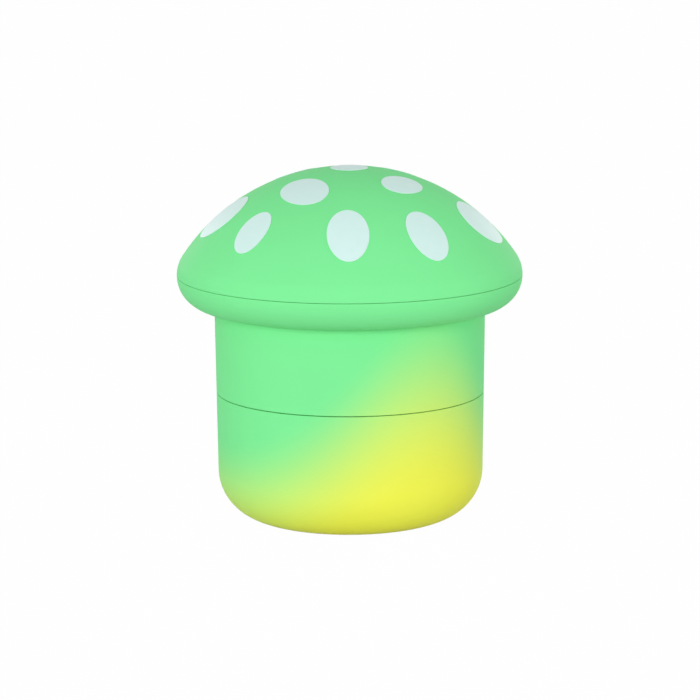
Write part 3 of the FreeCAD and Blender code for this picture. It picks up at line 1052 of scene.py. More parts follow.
@dataclass
class Cup:
    """Lower stem: rounded foot, catch space, sieve ledge and threaded mouth."""

    finishes: Finishes
    stem: Stem = Stem()
    thread: Thread = Thread()
    wall: float = 1.7
    floor: float = 2.4
    foot_radius: float = 9.15
    foot_steps: int = 28
    catch_steps: int = 18      # faces round the catch space's lower corner
    recess_radius: float = 11.0
    recess_depth: float = 0.5
    recess_edge: float = 0.2
    ledge_drop: float = 10.7
    ledge_width: float = 0.95
    ledge_edge: float = 0.2
    thread_height: float = 6.6
    thread_lead_in: float = 0.5
    standing_band: float = 1.0  # faces below this height belong to the foot
    facing: float = 0.3        # least lean outwards or downwards of a painted face

    def build(self) -> list[Piece]:
        """Builds the cup.

        Returns:
            Its piece.
        """
        return [Piece(self.shell(), "cup_shell", Body.CUP, Slot.YELLOW_PAINT, self.finishes.paint)]

    def shell(self) -> bpy.types.Object:
        """Turns the cup and cuts its thread.

        Returns:
            The shell.
        """
        top = Extent.of("cup_shell").top
        rim = self.stem.radius_at(top)
        mouth = rim - self.wall
        bore = mouth - self.ledge_width
        seat = top - self.ledge_drop
        draft = math.radians(self.stem.draft)
        arc_end = self.foot_radius * (1 - math.sin(draft))
        foot = (self.stem.radius_at(arc_end) - self.foot_radius * math.cos(draft), self.foot_radius)
        inner = self.foot_radius - self.floor
        thread_top = top - self.thread_lead_in
        thread_end = thread_top - self.thread_height
        section = Section(0, self.recess_depth)
        section.to(self.recess_radius, self.recess_depth, self.recess_edge)
        section.to(self.recess_radius + self.recess_depth, 0, self.recess_edge)
        section.to(foot[0], 0).arc(foot, QUARTER_TURN - self.stem.draft, self.foot_steps)
        section.to(rim, top, self.stem.seam_edge).to(mouth, top, self.stem.seam_edge)
        section.to(mouth, thread_top)
        section.run(mouth, thread_end, self.thread.rows(self.thread_height))
        section.to(mouth, seat).to(bore, seat, self.ledge_edge)
        catch = (bore - inner, self.floor + inner)
        section.to(bore, self.floor + inner).arc(catch, -QUARTER_TURN, self.catch_steps)
        section.to(0, self.floor)
        piece = turned("cup", section)
        self.thread.cut(piece, mouth, thread_end, thread_top, inwards=False)
        Bench.smooth(piece)
        seam = top - self.stem.seam_edge
        Bench.mark_bare(piece, lambda place, normal: self.is_painted(place, normal, seam))
        return piece

    def is_painted(self, place: Vector, normal: Vector, seam: float) -> bool:
        """Tells whether a face is on the outside of the cup or in its seam.

        Args:
            place: The face's radius and height.
            normal: Its normal, the same way round.
            seam: Height where the rim's seam face begins.

        Returns:
            Whether it is painted.
        """
        on_foot = normal.y < -self.facing and place.y < self.standing_band
        return normal.x > self.facing or on_foot or place.y > seam


@dataclass
class Sieve:
    """Drop-in ring with a woven screen held by a spring ring."""

    finishes: Finishes
    wall: float = 1.2
    lip_width: float = 1.2
    lip_height: float = 1.0
    edge: float = 0.25
    wire: float = 0.075        # half thickness of a wire
    pitch: float = 0.5         # between neighbouring wires
    snap_width: float = 1.0
    snap_fit: float = 0.05     # beyond the screen's edge
    snap_gap: float = 20.0     # opening of the spring ring, in degrees
    snap_heading: float = 90.0
    snap_edge: float = 0.12

    def build(self) -> list[Piece]:
        """Builds the sieve.

        Returns:
            Its pieces.
        """
        return [
            Piece(self.ring(), "sieve_ring", Body.SIEVE, Slot.SIEVE_METAL, self.finishes.sieve),
            Piece(self.screen(), "sieve_screen", Body.SIEVE, Slot.SCREEN_STEEL, self.finishes.steel),
            Piece(self.snap_ring(), "sieve_snap_ring", Body.SIEVE, Slot.SCREW_STEEL, self.finishes.steel),
        ]

    def ring(self) -> bpy.types.Object:
        """Turns the ring with its lip.

        Returns:
            The ring.
        """
        outside = Extent.of("sieve_ring")
        bore = outside.radius - self.wall
        lip = bore - self.lip_width
        section = Section(bore, outside.bottom, self.snap_edge)
        section.to(outside.radius, outside.bottom, self.edge).to(outside.radius, outside.top, self.edge)
        section.to(lip, outside.top, self.edge).to(lip, outside.top - self.lip_height, self.snap_edge)
        section.to(bore, outside.top - self.lip_height)
        return Bench.smooth(turned("sieve_ring_turned", section))

    def screen(self) -> bpy.types.Object:
        """Weaves the screen from two sets of wires that pass over and under each other.

        Returns:
            The screen.
        """
        sheet = Extent.of("sieve_screen")
        reach = sheet.radius - self.wire
        middle = (sheet.bottom + sheet.top) / 2
        wires = bpy.data.curves.new("sieve_weave", "CURVE")
        wires.dimensions = "3D"
        wires.bevel_depth = self.wire * MM
        wires.bevel_resolution = 0
        wires.use_fill_caps = True
        count = int(reach / self.pitch)
        for row in range(-count, count + 1):
            half_chord = math.sqrt(reach ** 2 - (row * self.pitch) ** 2)
            last = int(half_chord / self.pitch)
            crossings = range(-last, last + 1) if last else range(-1, 2)
            for crosswise in (False, True):
                spline = wires.splines.new("POLY")
                spline.points.add(len(crossings) - 1)
                for point, crossing in zip(spline.points, crossings):
                    over = 1.0 if (row + crossing + crosswise) % 2 else -1.0
                    plan = (row, crossing) if crosswise else (crossing, row)
                    place = Vector((plan[0] * self.pitch, plan[1] * self.pitch, middle + over * self.wire))
                    point.co = (*(place * MM), 1.0)
        piece = bpy.data.objects.new("sieve_weave", wires)
        bpy.context.collection.objects.link(piece)
        Bench.pick(piece)
        bpy.ops.object.convert(target="MESH")
        return Bench.smooth(Bench.named("sieve_weave"))

    def snap_ring(self) -> bpy.types.Object:
        """Turns the open spring ring.

        Returns:
            The spring ring.
        """
        outside = Extent.of("sieve_snap_ring")
        outer = Extent.of("sieve_screen").radius + self.snap_fit
        inner = outer - self.snap_width
        section = Section(inner, outside.bottom, self.snap_edge).to(outer, outside.bottom, self.snap_edge)
        section.to(outer, outside.top, self.snap_edge).to(inner, outside.top, self.snap_edge)
        piece = turned("sieve_spring", section, sweep=FULL_TURN - self.snap_gap)
        start = self.snap_heading + self.snap_gap / 2
        piece.data.transform(Matrix.Rotation(math.radians(start), 4, "Z"))
        return Bench.smooth(piece)


@dataclass
class SeamWasher:
    """Thin rubber washer in the seam of the stem, dark green so that it also darkens the seam's line as
    painted shade.
    """

    finishes: Finishes
    width: float = 0.95
    edge: float = 0.05

    def build(self) -> list[Piece]:
        """Builds the washer.

        Returns:
            Its piece.
        """
        extent = Extent.of("stem_washer")
        mesh = plain_ring("seam_washer", extent.radius - self.width, extent, self.edge)
        return [Piece(mesh, "stem_washer", Body.WASHER, Slot.WASHER_RUBBER, self.finishes.rubber)]


@dataclass(frozen=True)
class Teeth:
    """Diamond grinding teeth in four rings, in turn on the tray and on the cap."""

    width: float = 2.9
    length: float = 4.4
    height: float = 8.0
    root: float = 0.4
    tip_share: float = 0.72
    edge: float = 0.16
    edge_steps: int = 3
    sides: int = 4
    ring_radii: tuple[float, ...] = (20.75, 16.65, 12.55, 8.45)
    ring_counts: tuple[int, ...] = (12, 10, 8, 6)

    def one(self) -> bpy.types.Object:
        """Models one tooth, root down.

        Returns:
            The tooth, standing on z 0.
        """
        Bench.clear()
        bpy.ops.mesh.primitive_cylinder_add(vertices=self.sides, radius=0.5, depth=1.0)
        piece = Bench.named("tooth")
        tall = self.height + self.root
        with Bench.editing():
            bpy.ops.transform.resize(value=(self.length * MM, self.width * MM, tall * MM))
            bpy.ops.transform.translate(value=(0, 0, (tall / 2 - self.root) * MM))
        self.select(piece, lambda low, high: low > 0)
        with Bench.editing():
            bpy.ops.transform.resize(value=(self.tip_share, self.tip_share, 1.0))
        self.select(piece, lambda low, high: high > 0)
        with Bench.editing():
            bpy.ops.mesh.bevel(offset=self.edge * MM, segments=self.edge_steps, affect="EDGES")
        return piece

    @staticmethod
    def select(piece: bpy.types.Object, wanted: Callable[[float, float], bool]) -> None:
        """Selects a tooth's edges by the heights of their ends.

        Args:
            piece: The tooth.
            wanted: Tells from the lower and the upper end whether an edge is selected.
        """
        bpy.context.tool_settings.mesh_select_mode = (False, True, False)
        mesh = piece.data
        chosen = []
        for edge in mesh.edges:
            heights = sorted(mesh.vertices[end].co.z for end in edge.vertices)
            edge.select = wanted(*heights)
            if edge.select:
                chosen += edge.vertices
        for vertex in mesh.vertices:
            vertex.select = vertex.index in chosen
        for face in mesh.polygons:
            face.select = all(vertex in chosen for vertex in face.vertices)

    def rings(self, first: int, plate: float, upward: bool) -> bpy.types.Object:
        """Sets every other ring of teeth on a plate.

        Args:
            first: 0 for the rings that start at the wall, 1 for those between them.
            plate: Height of the plate's face.
            upward: Whether the teeth stand up from it.

        Returns:
            The teeth as one object.
        """
        stand = Matrix.Identity(4) if upward else Matrix.Rotation(math.pi, 4, "X")
        places = []
        for radius, count in list(zip(self.ring_radii, self.ring_counts))[first::2]:
            places += [in_plan(angle, radius, plate) @ stand for angle in around(count)]
        return Bench.spread(self.one(), places)


@dataclass(frozen=True)
class Magnets:
    """Facing disc magnets that hold the cap shut."""

    pocket: float = 4.03
    edge: float = 0.3
    post_radius: float = 5.8
    post_edge: float = 0.3
    root_fillet: float = 0.5


@dataclass
class Chamber:
    """Upper stem with the cap's underside, pilot ring and threaded spigot, and the toothed tray in it."""

    finishes: Finishes
    stem: Stem = Stem()
    thread: Thread = Thread()
    teeth: Teeth = Teeth()
    magnets: Magnets = Magnets()
    mouth_clear: float = 0.3   # spigot inside the cup's mouth
    cup_wall: float = 1.7
    spigot_wall: float = 1.5
    spigot_chamfer: float = 0.4
    spigot_edge: float = 0.2
    seam: float = 0.08         # open seam under the cap
    underside_flat: float = 1.1
    underside_steps: int = 24
    crease_fillet: float = 0.35
    recess_clear: float = 0.3
    bowl_wall: float = 2.0
    paint_depth: float = 1.5   # painted faces lie this near the outside
    pilot_edge: float = 0.36
    tray_depth: float = 8.0
    tray_edge: float = 0.25
    lug_depth: float = 1.8
    lug_inner: float = 21.45
    lug_sweep: float = 12.0
    lug_count: int = 3
    lug_steps: int = 8
    slot_sweep: float = 12.5
    slot_depth: float = 1.9
    slot_inner: float = 21.2
    hole_radius: float = 2.0
    hole_chamfer: float = 0.3
    hole_counts: tuple[int, int] = (12, 6)
    hole_steps: int = 40

    def build(self) -> list[Piece]:
        """Builds the chamber.

        Returns:
            Its pieces.
        """
        magnet = plain_disc("tray_magnet_disc", Extent.of("tray_magnet"), self.magnets.edge)
        return [
            Piece(self.shell(), "chamber_shell", Body.CHAMBER, Slot.GREEN_PAINT, self.finishes.paint),
            Piece(self.tray(), "tray_disc", Body.CHAMBER, Slot.TOOTH_METAL, self.finishes.teeth),
            Piece(magnet, "tray_magnet", Body.CHAMBER, Slot.MAGNET_NICKEL, self.finishes.nickel),
        ]

    def shell(self) -> bpy.types.Object:
        """Turns the casting, cuts the spigot's thread and the slots that key the tray.

        Returns:
            The shell.
        """
        outside = Extent.of("chamber_shell")
        shoulder = Extent.of("stem_washer").top
        glide = Extent.of("glide_ring")
        ledge = Extent.of("tray_disc").bottom + self.lug_depth
        top = glide.top - self.seam
        spigot = self.stem.radius_at(Extent.of("cup_shell").top) - self.cup_wall - self.mouth_clear
        bore = spigot - self.spigot_wall
        thread_start = outside.bottom + self.spigot_chamfer
        cap = outside.radius
        under = cap - self.stem.top_radius - self.underside_flat
        recess = glide.radius + self.recess_clear
        pilot = self.stem.top_radius
        bowl = pilot - self.bowl_wall
        section = Section(bore, outside.bottom, self.spigot_edge)
        section.to(spigot - self.spigot_chamfer, outside.bottom).to(spigot, thread_start)
        section.run(spigot, shoulder, self.thread.rows(shoulder - thread_start))
        section.to(self.stem.radius_at(shoulder), shoulder, self.stem.seam_edge)
        section.to(self.stem.top_radius, self.stem.crease, self.crease_fillet)
        section.to(cap - under, self.stem.crease)
        section.arc((cap - under, top), QUARTER_TURN, self.underside_steps, self.stem.seam_edge)
        section.to(recess, top, self.stem.seam_edge).to(recess, glide.bottom).to(pilot, glide.bottom)
        section.to(pilot, outside.top, self.pilot_edge).to(bowl, outside.top, self.pilot_edge)
        section.to(bowl, ledge).to(bore, ledge)
        piece = turned("chamber", section)
        self.thread.cut(piece, spigot, thread_start, shoulder, inwards=True)
        slots = self.key_blocks(self.slot_inner, bowl, ledge - self.slot_depth, ledge, self.slot_sweep)
        Bench.shape(piece, slots, Shaping.CUT)
        Bench.smooth(piece)
        Bench.mark_bare(piece, lambda place, normal: self.is_painted(place, shoulder, recess, glide.bottom))
        return piece

    def is_painted(self, place: Vector, shoulder: float, recess: float, seat: float) -> bool:
        """Tells whether a face is on the outside of the chamber or in its seams.

        Args:
            place: The face's radius and height.
            shoulder: Height of the lower seam face.
            recess: Radius of the recess for the glide ring.
            seat: Height of that recess's floor.

        Returns:
            Whether it is painted.
        """
        in_recess = place.y > seat - self.seam and place.x < recess + self.seam
        outside = place.x > self.stem.top_radius - self.paint_depth and place.y > shoulder - self.seam
        return outside and not in_recess

    def key_blocks(
        self, inner: float, outer: float, bottom: float, top: float, sweep: float,
    ) -> bpy.types.Object:
        """Turns the blocks that key the tray in its ledge.

        Args:
            inner: Inner radius.
            outer: Outer radius.
            bottom: Lower height.
            top: Upper height.
            sweep: Width of a block, in degrees.

        Returns:
            The blocks as one object, the first at the back.
        """
        section = Section(inner, bottom).to(outer, bottom).to(outer, top).to(inner, top)
        block = turned("key_blocks", section, steps=self.lug_steps, sweep=sweep)
        middle = math.degrees(math.atan2(*self.middle_of(block)))
        places = [
            Matrix.Rotation(math.radians(HALF_TURN - middle + number * FULL_TURN / self.lug_count), 4, "Z")
            for number in range(self.lug_count)
        ]
        return Bench.spread(block, places)

    @staticmethod
    def middle_of(piece: bpy.types.Object) -> tuple[float, float]:
        """Gives the plan middle of a piece as (towards the right, towards the front)."""
        total = sum((vertex.co for vertex in piece.data.vertices), Vector())
        return total.x, -total.y

    def tray(self) -> bpy.types.Object:
        """Turns the tray with its post, cuts the drop holes and sets the teeth and lugs.

        Returns:
            The tray.
        """
        outside = Extent.of("tray_disc")
        magnet = Extent.of("tray_magnet")
        ledge = outside.bottom + self.lug_depth
        face = Extent.of("glide_ring").top - self.seam - self.tray_depth
        magnets = self.magnets
        section = Section(0, ledge).to(outside.radius, ledge, self.tray_edge)
        section.to(outside.radius, face, self.tray_edge).to(magnets.post_radius, face, magnets.root_fillet)
        section.to(magnets.post_radius, magnet.top, magnets.post_edge)
        section.to(magnets.pocket, magnet.top).to(magnets.pocket, magnet.bottom).to(0, magnet.bottom)
        piece = turned("toothed_tray", section)
        Bench.shape(piece, self.drop_holes(ledge, face), Shaping.CUT)
        Bench.shape(piece, self.teeth.rings(0, face, upward=True), Shaping.ADD)
        lug_top = ledge + self.tray_edge
        lug_outer = outside.radius - self.tray_edge
        lugs = self.key_blocks(self.lug_inner, lug_outer, outside.bottom, lug_top, self.lug_sweep)
        Bench.shape(piece, lugs, Shaping.ADD)
        return Bench.smooth(piece)

    def drop_holes(self, low: float, high: float) -> bpy.types.Object:
        """Turns the cutter of a chamfered hole and sets it in the lanes that the cap's teeth sweep.

        Args:
            low: Lower face of the plate.
            high: Upper face of the plate.

        Returns:
            The cutters as one object.
        """
        wide = self.hole_radius + self.hole_chamfer
        section = Section(0, low - self.lug_depth).to(wide, low - self.lug_depth).to(wide, low)
        section.to(self.hole_radius, low + self.hole_chamfer).to(self.hole_radius, high - self.hole_chamfer)
        section.to(wide, high).to(wide, high + self.lug_depth).to(0, high + self.lug_depth)
        cutter = turned("drop_holes", section, steps=self.hole_steps)
        places = []
        for radius, count in zip(self.teeth.ring_radii[1::2], self.hole_counts):
            places += [in_plan(angle, radius) for angle in around(count)]
        return Bench.spread(cutter, places)


@dataclass
class GlideRing:
    """Slippery ring around the pilot that carries the cap."""

    finishes: Finishes
    width: float = 2.3
    edge: float = 0.2
    clear: float = 0.01        # under the skirt that slides on it

    def build(self) -> list[Piece]:
        """Builds the ring.

        Returns:
            Its piece.
        """
        seat = Extent.of("glide_ring")
        extent = Extent(seat.radius, seat.bottom, seat.top - self.clear)
        mesh = plain_ring("nylon_glide", extent.radius - self.width, extent, self.edge)
        return [Piece(mesh, "glide_ring", Body.GLIDE, Slot.NYLON, self.finishes.nylon)]


@dataclass(frozen=True)
class Screw:
    """Countersunk machine screw with a cross recess."""

    radius: float = 1.5
    head_radius: float = 2.75
    head_height: float = 1.65
    head_rim: float = 0.2
    head_edge: float = 0.08
    tip_chamfer: float = 0.4
    fit: float = 0.05
    recess_span: float = 3.1
    recess_width: float = 0.62
    recess_depth: float = 1.1
    recess_taper: float = 0.6
    steps: int = 48

    def form(self, name: str, face: float, tip: float, spare: float) -> bpy.types.Object:
        """Turns the screw on the axis, head down.

        Args:
            name: Name of the piece.
            face: Height of the head's face.
            tip: Height of the tip.
            spare: Room all round, for a hole.

        Returns:
            The turned form.
        """
        head, shank = self.head_radius + spare, self.radius + spare
        low = face - spare
        section = Section(0, low).to(head, low, self.head_edge).to(head, face + self.head_rim)
        section.to(shank, face + self.head_height).to(shank, tip - self.tip_chamfer)
        section.to(shank - self.tip_chamfer, tip).to(0, tip)
        return turned(name, section, steps=self.steps)

    def recess(self, face: float) -> bpy.types.Object:
        """Models the cross recess as two tapered bars.

        Args:
            face: Height of the head's face.

        Returns:
            The recess as one object.
        """
        Bench.clear()
        bpy.ops.mesh.primitive_cube_add(size=1.0)
        bar = Bench.named("cross_recess")
        deep = 2 * self.recess_depth
        with Bench.editing():
            bpy.ops.transform.resize(value=(self.recess_span * MM, self.recess_width * MM, deep * MM))
        for vertex in bar.data.vertices:
            if vertex.co.z > 0:
                vertex.co.xy *= self.recess_taper
        lift = Matrix.Translation((0, 0, face * MM))
        other = Bench.copy(bar, lift @ Matrix.Rotation(math.pi / 2, 4, "Z"))
        bar.data.transform(lift)
        Bench.shape(bar, other, Shaping.ADD)
        return bar


@dataclass(frozen=True)
class Spot:
    """One printed spot of the dome."""

    tilt: float                # from the crown, in degrees
    heading: float             # from the front, growing towards the right
    wide: float                # width as a share of the common spot's
    long: float                # length as a share of the common spot's
    lean: float = 0.0          # turn in its own plane, in degrees


@dataclass(frozen=True)
class Spots:
    """Pale spots on the dome: one on the crown and two rings."""

    lift: float = 0.02         # ink just off the paint
    film: float = 0.08
    edge_steps: int = 72
    rings: int = 6             # rings of faces from a spot's edge to its middle
    crown_radius: float = 3.5
    half_width: float = 3.8    # common spot of the lower ring, across its meridian
    half_length: float = 5.8   # the same spot along its meridian
    front: tuple[Spot, ...] = (
        Spot(19.3, 51.6, 1.22, 0.61, 6.0),
        Spot(21.7, -36.4, 1.51, 0.72, -28.5),
        Spot(39.1, -80.9, 1.42, 0.98),
        Spot(41.2, -45.4, 0.87, 0.86, 8.0),
        Spot(39.9, -0.6, 1.0, 1.05, 2.4),
        Spot(41.6, 34.5, 1.0, 1.0, -5.6),
        Spot(41.4, 77.7, 1.58, 0.95),
    )
    back_upper: Spot = Spot(20.5, 0.0, 1.26, 0.67)
    back_upper_headings: tuple[float, ...] = (140.0, 228.0)
    back_lower: Spot = Spot(40.8, 0.0, 1.03, 0.97)
    back_lower_headings: tuple[float, ...] = (120.0, 160.0, 200.0, 240.0)

    def all(self) -> list[Spot]:
        """Lists every spot.

        Returns:
            The crown's spot, those seen from the front, then the rings' run round the back.
        """
        crown = Spot(0.0, 0.0, self.crown_radius / self.half_width, self.crown_radius / self.half_length)
        found = [crown, *self.front]
        for like, headings in (
            (self.back_upper, self.back_upper_headings),
            (self.back_lower, self.back_lower_headings),
        ):
            found += [Spot(like.tilt, heading, like.wide, like.long) for heading in headings]
        return found

    def film_of(self, spot: Spot, crown_radius: float, crown_centre: float) -> bpy.types.Object:
        """Models one spot as a thin film that follows the dome.

        Args:
            spot: The spot.
            crown_radius: Radius of the dome.
            crown_centre: Height of the dome's centre.

        Returns:
            The film.
        """
        Bench.clear()
        bpy.ops.mesh.primitive_circle_add(vertices=self.edge_steps, radius=1.0, fill_type="NGON")
        piece = Bench.named("spot")
        size = (spot.wide * self.half_width * MM, spot.long * self.half_length * MM, 1.0)
        with Bench.editing():
            bpy.ops.transform.resize(value=size)
            for ring in range(self.rings, 1, -1):
                share = (ring - 1) / ring
                bpy.ops.mesh.inset(thickness=0.0)
                bpy.ops.transform.resize(value=(share, share, 1.0), center_override=(0.0, 0.0, 0.0))
            bpy.ops.mesh.poke()
        under = (crown_radius + self.lift) * MM
        for vertex in piece.data.vertices:
            vertex.co.z = math.sqrt(under ** 2 - vertex.co.xy.length_squared)
        swing = Matrix.Rotation(math.radians(spot.heading), 4, "Z")
        tip = Matrix.Rotation(math.radians(spot.tilt), 4, "X")
        lean = Matrix.Rotation(math.radians(spot.lean), 4, "Z")
        Bench.apply(piece, "SOLIDIFY", thickness=self.film * MM, offset=1.0)
        piece.data.transform(Matrix.Translation((0, 0, crown_centre * MM)) @ swing @ tip @ lean)
        return piece

    def build(self, crown_radius: float, crown_centre: float) -> bpy.types.Object:
        """Models all spots.

        Args:
            crown_radius: Radius of the dome.
            crown_centre: Height of the dome's centre.

        Returns:
            The spots as one object.
        """
        films = [self.film_of(spot, crown_radius, crown_centre) for spot in self.all()]
        Bench.pick(*films)
        bpy.ops.object.join()
        return Bench.smooth(Bench.named("dome_spots"))


@dataclass
class Cap:
    """Domed lid with its spots, and the toothed disc screwed up into it."""

    finishes: Finishes
    stem: Stem = Stem()
    teeth: Teeth = Teeth()
    magnets: Magnets = Magnets()
    screw: Screw = Screw()
    spots: Spots = Spots()
    rim_radius: float = 5.83
    dome_steps: int = 56
    rim_steps: int = 20
    pocket_steps: int = 12
    inner_steps: int = 40
    wall: float = 2.2
    skirt_wall: float = 2.2
    skirt_clear: float = 0.3
    skirt_edge: float = 0.2
    facing: float = 0.05       # least lean upwards of a painted face
    disc_height: float = 3.0
    disc_edge: float = 0.25
    boss_radius: float = 3.4
    boss_steps: int = 56
    boss_hole_spare: float = 1.0
    screw_circle: float = 12.55
    screw_headings: tuple[float, ...] = (60.0, 180.0, 300.0)

    def build(self) -> list[Piece]:
        """Builds the cap.

        Returns:
            Its pieces.
        """
        outside = Extent.of("cap_shell")
        rise = outside.top - outside.bottom
        rim = outside.radius - self.rim_radius
        crown = (rim ** 2 + rise ** 2 - self.rim_radius ** 2) / (2 * (rise - self.rim_radius))
        centre = outside.top - crown
        magnet = plain_disc("cap_magnet_disc", Extent.of("cap_magnet"), self.magnets.edge)
        disc = Extent.of("cap_tooth_disc")
        screws = Extent.of("cap_disc_screws")
        return [
            Piece(self.shell(outside, crown, centre, screws),
                  "cap_shell", Body.CAP, Slot.GREEN_PAINT, self.finishes.paint),
            Piece(self.spots.build(crown, centre), "cap_spots", Body.CAP, Slot.WHITE_INK, self.finishes.ink),
            Piece(self.tooth_disc(disc, screws),
                  "cap_tooth_disc", Body.CAP, Slot.TOOTH_METAL, self.finishes.teeth),
            Piece(self.disc_screws(screws),
                  "cap_disc_screws", Body.CAP, Slot.SCREW_STEEL, self.finishes.steel),
            Piece(magnet, "cap_magnet", Body.CAP, Slot.MAGNET_NICKEL, self.finishes.nickel),
        ]

    def shell(self, outside: Extent, crown: float, centre: float, screws: Extent) -> bpy.types.Object:
        """Turns the dome with its skirt, and adds the drilled bosses.

        Args:
            outside: Extent of the shell.
            crown: Radius of the dome.
            centre: Height of the dome's centre.
            screws: Extent of the disc screws.

        Returns:
            The shell.
        """
        face = outside.bottom
        rim_centre = (outside.radius - self.rim_radius, face)
        half = math.degrees(math.atan2(rim_centre[0], face - centre))
        inner_crown = crown - self.wall
        skirt = self.stem.top_radius + self.skirt_clear
        skirt_out = skirt + self.skirt_wall
        skirt_top = centre + math.sqrt(inner_crown ** 2 - skirt ** 2)
        inner_rim = self.rim_radius - self.wall
        pocket = math.degrees(math.acos((skirt_out - rim_centre[0]) / inner_rim))
        inner = rim_centre[0] + inner_rim
        inner_half = math.degrees(math.asin(skirt / inner_crown))
        section = Section(0, outside.top).arc((0, centre), -half, self.dome_steps)
        section.arc(rim_centre, half - QUARTER_TURN, self.rim_steps, self.stem.seam_edge)
        section.to(inner, face).arc(rim_centre, pocket, self.pocket_steps)
        section.to(skirt_out, face, self.skirt_edge).to(skirt, face, self.skirt_edge)
        section.to(skirt, skirt_top).arc((0, centre), inner_half, self.inner_steps)
        piece = turned("cap", section)
        disc_top = screws.bottom + self.disc_height
        Bench.shape(piece, self.bosses(disc_top, crown - self.wall / 2, centre), Shaping.ADD)
        bore = self.screw.radius + self.screw.fit
        hole = Section(0, disc_top - self.wall).to(bore, disc_top - self.wall)
        hole.to(bore, screws.top + self.boss_hole_spare).to(0, screws.top + self.boss_hole_spare)
        holes = turned("boss_holes", hole, steps=self.screw.steps)
        Bench.shape(piece, Bench.spread(holes, self.screw_places()), Shaping.CUT)
        Bench.smooth(piece)
        Bench.mark_bare(piece, lambda place, normal: normal.y > self.facing or place.x > inner)
        return piece

    def screw_places(self) -> list[Matrix]:
        """Gives the moves from the axis to each screw."""
        return [in_plan(heading, self.screw_circle) for heading in self.screw_headings]

    def bosses(self, bottom: float, reach: float, centre: float) -> bpy.types.Object:
        """Models a boss that ends slanted inside the dome's wall, and copies it.

        Args:
            bottom: Height of the boss's lower end.
            reach: Distance of its upper end from the dome's centre.
            centre: Height of the dome's centre.

        Returns:
            The bosses as one object.
        """
        Bench.clear()
        bar = {"radius": self.boss_radius * MM, "depth": 2 * reach * MM}
        bpy.ops.mesh.primitive_cylinder_add(vertices=self.boss_steps, **bar)
        boss = Bench.named("bosses")
        slant = Vector((0, -self.screw_circle, math.sqrt(reach ** 2 - self.screw_circle ** 2)))
        top = (0, 0, (centre + slant.z) * MM)
        with Bench.editing():
            bpy.ops.transform.translate(value=(0, 0, (bottom + reach) * MM))
            bpy.ops.mesh.select_all(action="SELECT")
            bpy.ops.mesh.bisect(plane_co=top, plane_no=slant.normalized(), use_fill=True, clear_outer=True)
        return Bench.spread(boss, self.screw_places())

    def tooth_disc(self, outside: Extent, screws: Extent) -> bpy.types.Object:
        """Turns the disc with its hub, sets its teeth and drills its countersunk holes.

        Args:
            outside: Extent of the disc with its teeth.
            screws: Extent of the disc screws.

        Returns:
            The disc.
        """
        magnet = Extent.of("cap_magnet")
        face = screws.bottom
        magnets = self.magnets
        section = Section(0, magnet.top).to(magnets.pocket, magnet.top).to(magnets.pocket, magnet.bottom)
        section.to(magnets.post_radius, magnet.bottom, magnets.post_edge)
        section.to(magnets.post_radius, face, magnets.root_fillet)
        section.to(outside.radius, face, self.disc_edge)
        section.to(outside.radius, face + self.disc_height, self.disc_edge).to(0, face + self.disc_height)
        piece = turned("toothed_disc", section)
        Bench.shape(piece, self.teeth.rings(1, face, upward=False), Shaping.ADD)
        tip = screws.top + self.screw.tip_chamfer
        drill = Bench.spread(self.screw.form("screw_holes", face, tip, self.screw.fit), self.screw_places())
        Bench.shape(piece, drill, Shaping.CUT)
        return Bench.smooth(piece)

    def disc_screws(self, outside: Extent) -> bpy.types.Object:
        """Models one screw and copies it.

        Args:
            outside: Extent of the screws.

        Returns:
            The screws as one object.
        """
        screw = self.screw.form("disc_screws", outside.bottom, outside.top, 0.0)
        Bench.shape(screw, self.screw.recess(outside.bottom), Shaping.CUT)
        return Bench.smooth(Bench.spread(screw, self.screw_places()))


@dataclass(frozen=True)
class Lamp:
    """Soft studio lamp."""

    name: str
    place: tuple[float, float, float]
    size: float
    power: float
    color: tuple[float, float, float]


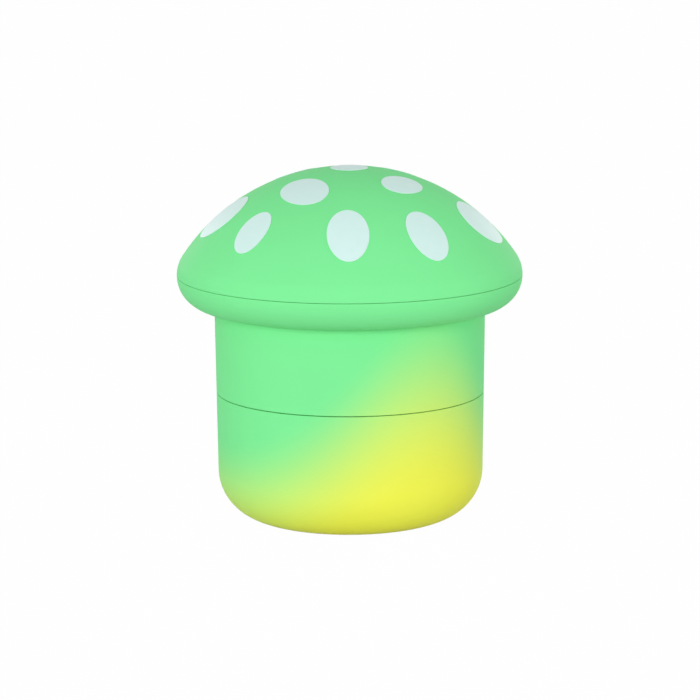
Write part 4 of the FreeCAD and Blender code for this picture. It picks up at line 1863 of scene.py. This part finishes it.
@dataclass(frozen=True)
class Studio:
    """Pale floor, soft light and the photograph's camera; places in metres."""

    camera_place: tuple[float, float, float] = (0.0, -0.7018, 0.16613)
    pitch: float = 0.1898      # downwards, in radians
    roll: float = -0.0047
    lens: float = 197.67
    sensor: float = 36.0
    nearest: float = 0.01      # the camera sees nothing nearer
    aim: tuple[float, float, float] = (0.0, 0.0, 0.035)
    lamps: tuple[Lamp, ...] = (
        Lamp("front_lamp", (-0.45, -1.89, 0.52), 0.9, 21.3, (1.0, 1.0, 1.04)),
        Lamp("left_lamp", (-1.1, -0.15, 0.21), 0.4, 1.2, (1.0, 1.0, 1.0)),
        Lamp("right_lamp", (1.1, -0.25, 0.21), 0.4, 2.7, (1.0, 1.0, 0.96)),
        Lamp("back_left_lamp", (-1.0, 1.7, 0.2), 0.9, 3.4, (1.0, 1.0, 1.0)),
        Lamp("back_right_lamp", (1.0, 1.7, 0.2), 0.9, 3.4, (1.0, 1.0, 1.0)),
    )
    fill: float = 0.51
    floor_size: float = 8.0
    floor_drop: float = 0.00002
    floor_color: Color = (0.7, 0.7, 0.7, 1.0)
    floor_white: float = 0.985  # share of the floor that the eye sees as plain white

    def build(self) -> None:
        """Sets up floor, light and camera."""
        self.floor()
        self.world()
        for lamp in self.lamps:
            self.light(lamp)
        self.camera()
        bpy.context.scene.view_settings.view_transform = "Standard"

    @staticmethod
    def seen(wires: Wiring) -> bpy.types.NodeSocket:
        """Tells rays that show the background from rays that carry light.

        Args:
            wires: Wiring of the floor or the world.

        Returns:
            Socket that is 1 for camera, glossy and transmission rays.
        """
        path = wires.add("LightPath").outputs
        shown = wires.math("MAXIMUM", path["Is Camera Ray"], path["Is Glossy Ray"])
        return wires.math("MAXIMUM", shown, path["Is Transmission Ray"])

    def floor(self) -> None:
        """Lays the floor, white to the eye but for the object's shadow."""
        Bench.clear()
        bpy.ops.mesh.primitive_plane_add(size=self.floor_size, location=(0, 0, -self.floor_drop))
        floor = Bench.named("floor")
        material, wires = new_material("pale_floor")
        matte = wires.add("BsdfDiffuse", {"Color": self.floor_color}).outputs[0]
        white = wires.add("Emission", {"Color": (1.0, 1.0, 1.0, 1.0), "Strength": 1.0}).outputs[0]
        share = wires.math("MULTIPLY", self.seen(wires), self.floor_white)
        mix = wires.add("MixShader", {0: share, 1: matte, 2: white}).outputs[0]
        wires.add("OutputMaterial", {"Surface": mix})
        floor.data.materials.append(material)

    def world(self) -> None:
        """Gives even fill light from all round, white to the eye."""
        world = bpy.data.worlds.new("studio")
        world.use_nodes = True
        bpy.context.scene.world = world
        wires = Wiring(world.node_tree)
        strength = wires.remap(self.seen(wires), self.fill, 1.0)
        sky = wires.add("Background", {"Color": (1.0, 1.0, 1.0, 1.0), "Strength": strength}).outputs[0]
        wires.add("OutputWorld", {"Surface": sky})

    def light(self, lamp: Lamp) -> None:
        """Hangs a lamp and turns it to the object.

        Args:
            lamp: The lamp.
        """
        Bench.clear()
        bpy.ops.object.light_add(type="AREA", location=lamp.place)
        hung = Bench.named(lamp.name)
        hung.data.shape = "DISK"
        hung.data.size = lamp.size
        hung.data.energy = lamp.power
        hung.data.color = lamp.color
        toward = Vector(self.aim) - Vector(lamp.place)
        hung.rotation_euler = toward.to_track_quat("-Z", "Y").to_euler()

    def camera(self) -> None:
        """Places the camera where the photograph was taken from."""
        Bench.clear()
        bpy.ops.object.camera_add()
        camera = Bench.named("camera")
        camera.data.lens = self.lens
        camera.data.sensor_width = self.sensor
        camera.data.clip_start = self.nearest
        look = Matrix.Rotation(math.pi / 2 - self.pitch, 4, "X") @ Matrix.Rotation(self.roll, 4, "Z")
        camera.matrix_world = Matrix.Translation(self.camera_place) @ look
        bpy.context.scene.camera = camera


def main() -> None:
    """Builds the grinder piece by piece around the frame."""
    logging.basicConfig(level=logging.INFO, format="%(message)s")
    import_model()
    Bench.clear()
    finishes = Finishes()
    for assembly in (Cup, Sieve, SeamWasher, Chamber, GlideRing, Cap):
        for piece in assembly(finishes).build():
            piece.dress()
    Studio().build()
    Bench.clear()


if __name__ == "__main__":
    main()
